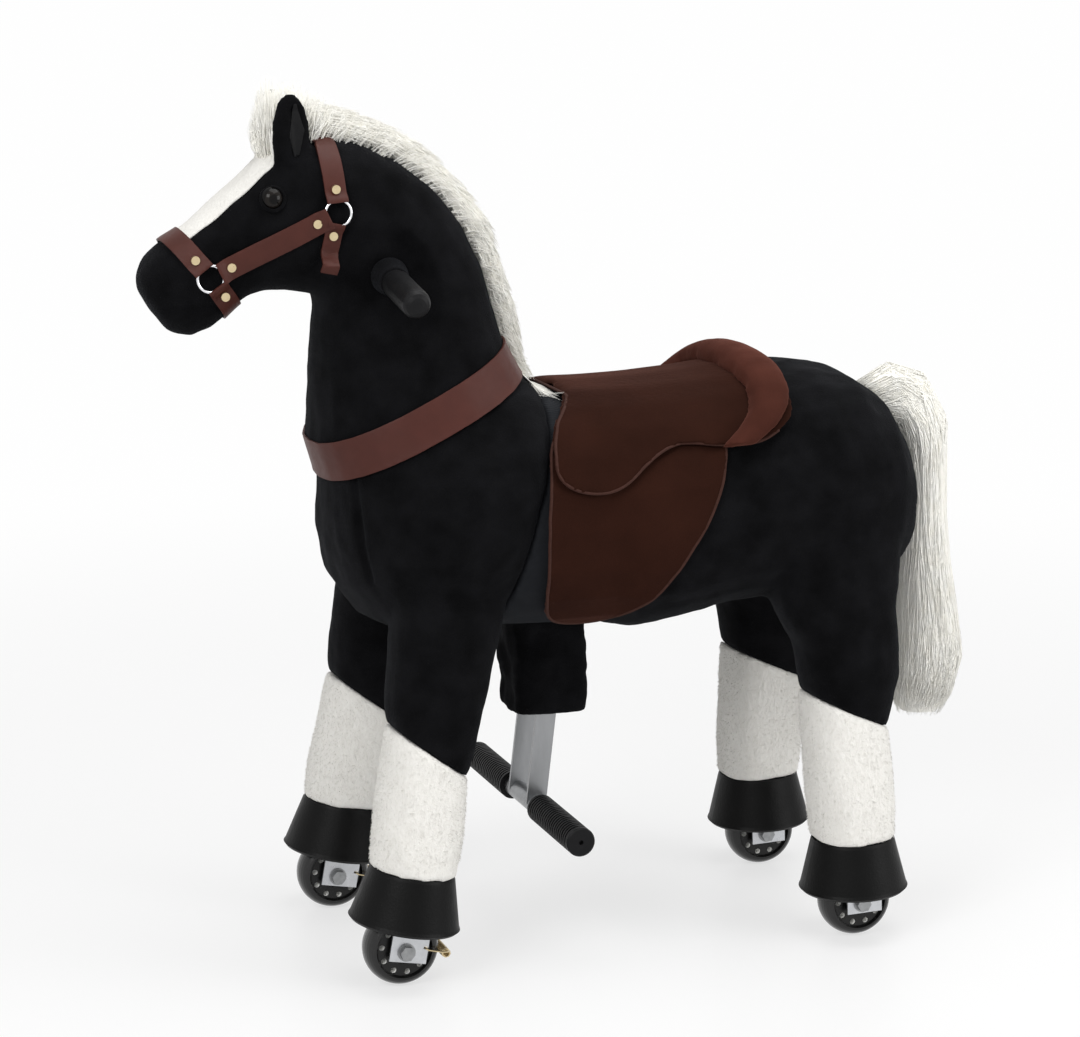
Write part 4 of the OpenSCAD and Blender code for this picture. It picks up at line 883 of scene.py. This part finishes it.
# Blaze. A white plush stripe sewn down the face, from the forelock to the noseband. It is cut
# from the coat's own skin and raised a little.
down = Vector((0.778, 0, -0.627))
face_up = Vector((0.627, 0, 0.778))
edge_cuts = [
    (Vector((0.33, side * 0.037, 0.86)), Vector((0, side, 0)) + down * 0.07) for side in (1, -1)
]
nose_way = Vector((0.788, 0, -0.6157))
blaze = cut_copy("blaze_plush", front_coat, [
    *edge_cuts,
    (Vector((0.384, 0, 0.812)) - face_up * 0.035, -face_up),
    (Vector((0.318, 0, 0.862)), -down),
    (Vector((ring_low[0], 0, ring_low[1])) - nose_way * 0.004, nose_way),
])
modify(blaze, "DISPLACE", strength=0.0016, mid_level=0)
modify(blaze, "SOLIDIFY", thickness=0.0034, offset=-1)
only(blaze)
bpy.ops.object.shade_smooth()
blaze.data.materials.append(white_plush.material)
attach(blaze, "front")

# Ear linings. Charcoal satin leaves sewn into the hollow of each ear, cut from the coat's
# skin by planes and smoothed at the edge.
ear_satin = Finish("ear_satin")
ear_satin.set(
    Base_Color=ear_satin.mix(ear_satin.grain(260, 3), (0.0022, 0.0022, 0.0025), (0.0046, 0.0046, 0.0052)),
    Roughness=ear_satin.grain(200, 2) * 0.2 + 0.5,
    Specular_IOR_Level=0.14,
    Normal=ear_satin.bump(ear_satin.grain(800, 2), 0.0006, 0.5),
)
linings = []
for side in (1, -1):
    linings.append(cut_copy("ear_lining", front_coat, [
        (Vector((ear_mid, side * 0.038, 0)), Vector((0, -side, 0))),
        (Vector((ear_mid - 0.004, 0, ear_high[2] - 0.004)), Vector((0.5, 0, 0.85))),
        (Vector((ear_mid + 0.0025, 0, ear_high[2] - 0.03)), Vector((0.97, 0, 0.16))),
        (Vector((ear_mid - 0.01, 0, ear_high[2] - 0.024)), Vector((-0.96, 0, 0.26))),
        (Vector((ear_mid - 0.0115, 0, ear_high[2] - 0.034)), Vector((-0.98, 0, -0.2))),
        (Vector((ear_mid + 0.002, 0, ear_high[2] - 0.045)), Vector((0.96, 0, -0.26))),
        (Vector((ear_mid - 0.002, 0, ear_high[2] - 0.058)), Vector((-0.3, 0, -0.95))),
    ]))
lining = join(*linings)
modify(lining, "SUBSURF", levels=2, render_levels=2, boundary_smooth="ALL")
modify(lining, "DISPLACE", strength=0.001, mid_level=0)
modify(lining, "SOLIDIFY", thickness=0.002, offset=-1)
only(lining)
bpy.ops.object.shade_smooth()
lining.data.materials.append(ear_satin.material)
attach(lining, "front")

# Eyes. Dark glass domes with a black pupil in a dull brown iris, each pressed into the head
# and ringed by a rolled plush lid.
eye_glass = Finish("eye_glass")
eye_x, eye_y, eye_z = 0.3369, 0.0535, 0.8121
eye_spot = eye_glass.node("ShaderNodeSeparateXYZ", inputs={0: eye_glass.place()})
eye_up = Wire(eye_glass, eye_spot.socket.node.outputs[2])
eye_off = (eye_spot - eye_x) * (eye_spot - eye_x) + (eye_up - eye_z) * (eye_up - eye_z)
eye_ring = eye_glass.steps(eye_off * 10000, (0.2, 0), (0.3, 1), (0.72, 1), (0.9, 0))
eye_glass.set(
    Base_Color=eye_glass.mix(
        eye_ring * (eye_glass.grain(500, 2) * 0.6 + 0.6), (0.0025, 0.0022, 0.0022), (0.011, 0.009, 0.0078)
    ),
    Roughness=0.08,
    Specular_IOR_Level=0.13,
)
finish_node("eyes", eye_glass)
lids = []
for side in (1, -1):
    out = Vector((0.12, side, 0.32)).to_track_quat("Z", "Y").to_euler()
    bpy.ops.object.select_all(action="DESELECT")
    bpy.ops.mesh.primitive_torus_add(
        location=(eye_x, side * (eye_y + 0.0015), eye_z),
        rotation=out,
        major_radius=0.012,
        minor_radius=0.0019,
        major_segments=48,
        minor_segments=16,
    )
    lids.append(bpy.context.object)
lid = join(*lids)
lid.name = "eye_lids"
only(lid)
bpy.ops.object.transform_apply()
bpy.ops.object.shade_smooth()
lid.data.materials.append(black_plush.material)
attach(lid, "front")

# Handle cuffs. Black plush sleeves sewn into the neck that gather round each handle and
# give as the handles turn.
for name, side in (("cuff_left", 1), ("cuff_right", -1)):
    # along the handle: x, y, z and radius
    stations = np.array([
        [0.2163, 0.05, 0.7305, 0.0205], [0.2166, 0.06, 0.729, 0.0195], [0.2168, 0.068, 0.728, 0.0182],
        [0.217, 0.073, 0.7273, 0.0168], [0.2172, 0.077, 0.7267, 0.0158], [0.2174, 0.08, 0.7263, 0.0152],
        [0.2174, 0.0815, 0.7261, 0.0138],
    ])
    line = stations[:, :3] * [1, side, 1]
    cuff = strands(name, [line], [stations[:, 3]], 32)
    modify(cuff, "SUBSURF", levels=2, render_levels=2)
    dent(cuff, soft_lumps, 0.0015, 0.5)
    cuff.data.materials.append(black_plush.material)
    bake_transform(cuff)

# Mane and forelock. Thick cream hair rooted along the crest, brushed up and back over a
# closed core, with loose wisps laid over the withers and the saddle's front.
hair_white = Finish("hair_white")
hair_streak = hair_white.grain(120, 3, (1, 1, 0.4))
hair_white.set(
    Base_Color=hair_white.mix(
        hair_white.steps(hair_streak, (0.3, 0), (0.68, 1)), (0.965, 0.945, 0.875), (0.985, 0.975, 0.93)
    ),
    Roughness=hair_white.grain(60, 2) * 0.2 + 0.7,
    Sheen_Weight=0.5,
    Sheen_Roughness=0.4,
    Specular_IOR_Level=0.12,
    Normal=hair_white.bump(hair_white.grain(420, 2, (1, 1, 0.3)), 0.001, 0.5),
)


def between(rows, places):
    """Rows read at places between them."""
    rows = np.asarray(rows)
    columns = [np.interp(places, np.arange(len(rows)), column) for column in rows.T]
    return np.stack(columns, axis=-1)


# root x and z, tip x and z, and half width, from the withers to the forehead
mane_rows = [
    [0.0711, 0.5994, 0.0496, 0.6218, 0.008], [0.0911, 0.6442, 0.0573, 0.6394, 0.013],
    [0.1035, 0.689, 0.065, 0.689, 0.016], [0.1142, 0.7274, 0.0804, 0.7354, 0.017],
    [0.1312, 0.7642, 0.0988, 0.7866, 0.018], [0.1589, 0.7994, 0.1327, 0.8266, 0.018],
    [0.1989, 0.8298, 0.1774, 0.8666, 0.018], [0.239, 0.849, 0.2282, 0.8906, 0.019],
    [0.2713, 0.8522, 0.2682, 0.908, 0.021], [0.299, 0.8474, 0.3062, 0.9222, 0.024],
    [0.3191, 0.8426, 0.3344, 0.9204, 0.024], [0.333, 0.8362, 0.3509, 0.8688, 0.014],
]
mane_count, forelock_count, mane_rings = 4700, 1200, 4
where = hair_draw.uniform(0, len(mane_rows) - 1, mane_count)
where[:forelock_count] = hair_draw.uniform(8.4, 10.6, forelock_count)
row = between(mane_rows, where)
ahead = between(mane_rows, np.minimum(where + 0.2, len(mane_rows) - 1))
ahead = ahead - between(mane_rows, np.maximum(where - 0.2, 0))
back = -ahead[:, 2:4] / np.linalg.norm(ahead[:, 2:4], axis=1, keepdims=True)
aside = np.clip(hair_draw.normal(0, 0.55, mane_count), -1.15, 1.15)
height = (1 - 0.28 * aside**2) * hair_draw.uniform(0.8, 1.06, mane_count)
sweep = hair_draw.uniform(0.004, 0.016, mane_count)
spread = hair_draw.normal(0, 0.004, mane_count)
along = np.linspace(0, 1, mane_rings)
rise = row[:, 2:4] - row[:, 0:2]
beside_ear = np.where(np.abs(row[:, 0] - ear_mid) < 0.04, 0.024, 0.06)
paths = np.zeros((mane_count, mane_rings, 3))
for k, share in enumerate(along):
    flat = row[:, 0:2] + rise * (0.1 + (height[:, None] - 0.1) * share)
    flat = flat + back * (sweep * share**2)[:, None]
    paths[:, k, 0], paths[:, k, 2] = flat[:, 0], flat[:, 1]
    off = aside * row[:, 4] * (0.8 + 0.75 * share**1.5) + spread * share**2
    paths[:, k, 1] = np.clip(off, -beside_ear, beside_ear)
widths = np.outer(hair_draw.uniform(0.0005, 0.0009, mane_count), [1, 1, 0.7, 0.16])
mane_core = cad_copy("mane_core", "mane")
ease(mane_core, 0.0036, 6)
modify(mane_core, "DISPLACE", strength=-0.002, mid_level=0)
tuft_count = 3600
roots, out = scatter(mane_core, tuft_count)
middles = (np.array(mane_rows)[:, 0:2] + np.array(mane_rows)[:, 2:4]) / 2
near = np.argmin(np.linalg.norm(roots[:, None, [0, 2]] - middles[None], axis=2), axis=1)
crest = np.gradient(middles, axis=0)
crest = -crest[near] / np.linalg.norm(crest[near], axis=1, keepdims=True)
lean = np.stack([crest[:, 0], hair_draw.normal(0, 0.12, tuft_count), crest[:, 1]], axis=1)
reach = hair_draw.uniform(0.012, 0.022, tuft_count)[:, None]
tufts_along = [
    roots + reach * (out * (0.27 * share - 0.1 * share**2) + lean * (0.35 * share + 0.6 * share**2))
    for share in along
]
tuft_widths = np.outer(hair_draw.uniform(0.0005, 0.001, tuft_count), [1, 0.9, 0.6, 0.16])
wisp_count, wisp_rings = 560, 5
wisp_spread = 0.062
root_x, root_y = hair_draw.uniform(0.058, 0.082, wisp_count), hair_draw.normal(0, 0.008, wisp_count)
tip_x, tip_y = hair_draw.uniform(0.028, 0.054, wisp_count), hair_draw.normal(0, 0.03, wisp_count)
wisp_roots = np.stack([root_x, root_y], axis=1)
wisp_tips = np.stack([tip_x, np.clip(tip_y, -wisp_spread, wisp_spread)], axis=1)
laid_on = [skin_tree(skin) for skin in (front_coat, rear_coat, panel)] + [seat_tree]
wisps = np.zeros((wisp_count, wisp_rings, 3))
for k, share in enumerate(np.linspace(0, 1, wisp_rings)):
    wisps[:, k, :2] = wisp_roots + (wisp_tips - wisp_roots) * share
    for n, (x, y) in enumerate(wisps[:, k, :2]):
        hits = [tree.ray_cast((x, y, 0.9), (0, 0, -1))[0] for tree in laid_on]
        wisps[n, k, 2] = max(hit.z for hit in hits if hit) + 0.0012 + 0.003 * share
wisp_widths = np.outer(hair_draw.uniform(0.0005, 0.0008, wisp_count), [1, 1, 0.9, 0.6, 0.15])
mane = join(
    mane_core,
    strands("mane_wisps", wisps, wisp_widths, 3),
    strands("mane_strands", paths, widths, 3),
    strands("mane_tufts", np.stack(tufts_along, axis=1), tuft_widths, 3),
)
mane.name = "mane_hair"
mane.data.materials.append(hair_white.material)
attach(mane, "front")
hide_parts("mane")

# Tail. Long cream hair round a closed core, bound at the root. It rises from the rump and
# falls to the hocks.
# front x and z, back x and z, and half width, from the root down
tail_rows = [
    [-0.349, 0.535, -0.318, 0.578, 0.0198], [-0.372, 0.543, -0.37, 0.605, 0.0261],
    [-0.384, 0.529, -0.412, 0.59, 0.03], [-0.388, 0.498, -0.438, 0.54, 0.031],
    [-0.388, 0.449, -0.438, 0.453, 0.03], [-0.387, 0.39, -0.442, 0.39, 0.031],
    [-0.387, 0.33, -0.455, 0.324, 0.033], [-0.385, 0.269, -0.463, 0.269, 0.033],
    [-0.383, 0.228, -0.452, 0.224, 0.0281], [-0.392, 0.203, -0.438, 0.1992, 0.0158],
]
tail_count, tail_rings = 5000, 6
turn = hair_draw.uniform(0, 2 * math.pi, tail_count)
reach = np.sqrt(hair_draw.uniform(0.82, 1.12, tail_count))
first = hair_draw.uniform(0, 4.5, tail_count)
last = np.minimum(first + hair_draw.uniform(3.5, 7, tail_count), hair_draw.uniform(7.4, 9, tail_count))
wave = hair_draw.uniform(0, 2 * math.pi, tail_count)
paths = np.zeros((tail_count, tail_rings, 3))
for k, share in enumerate(np.linspace(0, 1, tail_rings)):
    row = between(tail_rows, first + (last - first) * share)
    swing, out = turn + 0.25 * np.sin(wave + 4 * share), reach * (0.93 + 0.1 * share)
    across, beside = np.cos(swing) * out, np.sin(swing) * out
    front, behind = row[:, 0:2], row[:, 2:4]
    flat = (front + behind) / 2 + (behind - front) / 2 * across[:, None]
    paths[:, k, 0], paths[:, k, 2] = flat[:, 0], flat[:, 1]
    paths[:, k, 1] = row[:, 4] * beside
taper = np.interp(np.linspace(0, 1, tail_rings), [0, 0.1, 0.6, 1], [0.5, 1, 0.9, 0.15])
widths = np.outer(hair_draw.uniform(0.0005, 0.001, tail_count), taper)
tail_core = cad_copy("tail_core", "tail")
ease(tail_core, 0.004, 16)
modify(tail_core, "DISPLACE", strength=-0.002, mid_level=0)
tail = join(tail_core, strands("tail_strands", paths, widths, 3))
tail.name = "tail_hair"
tail.data.materials.append(hair_white.material)
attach(tail, "rear")
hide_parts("tail")
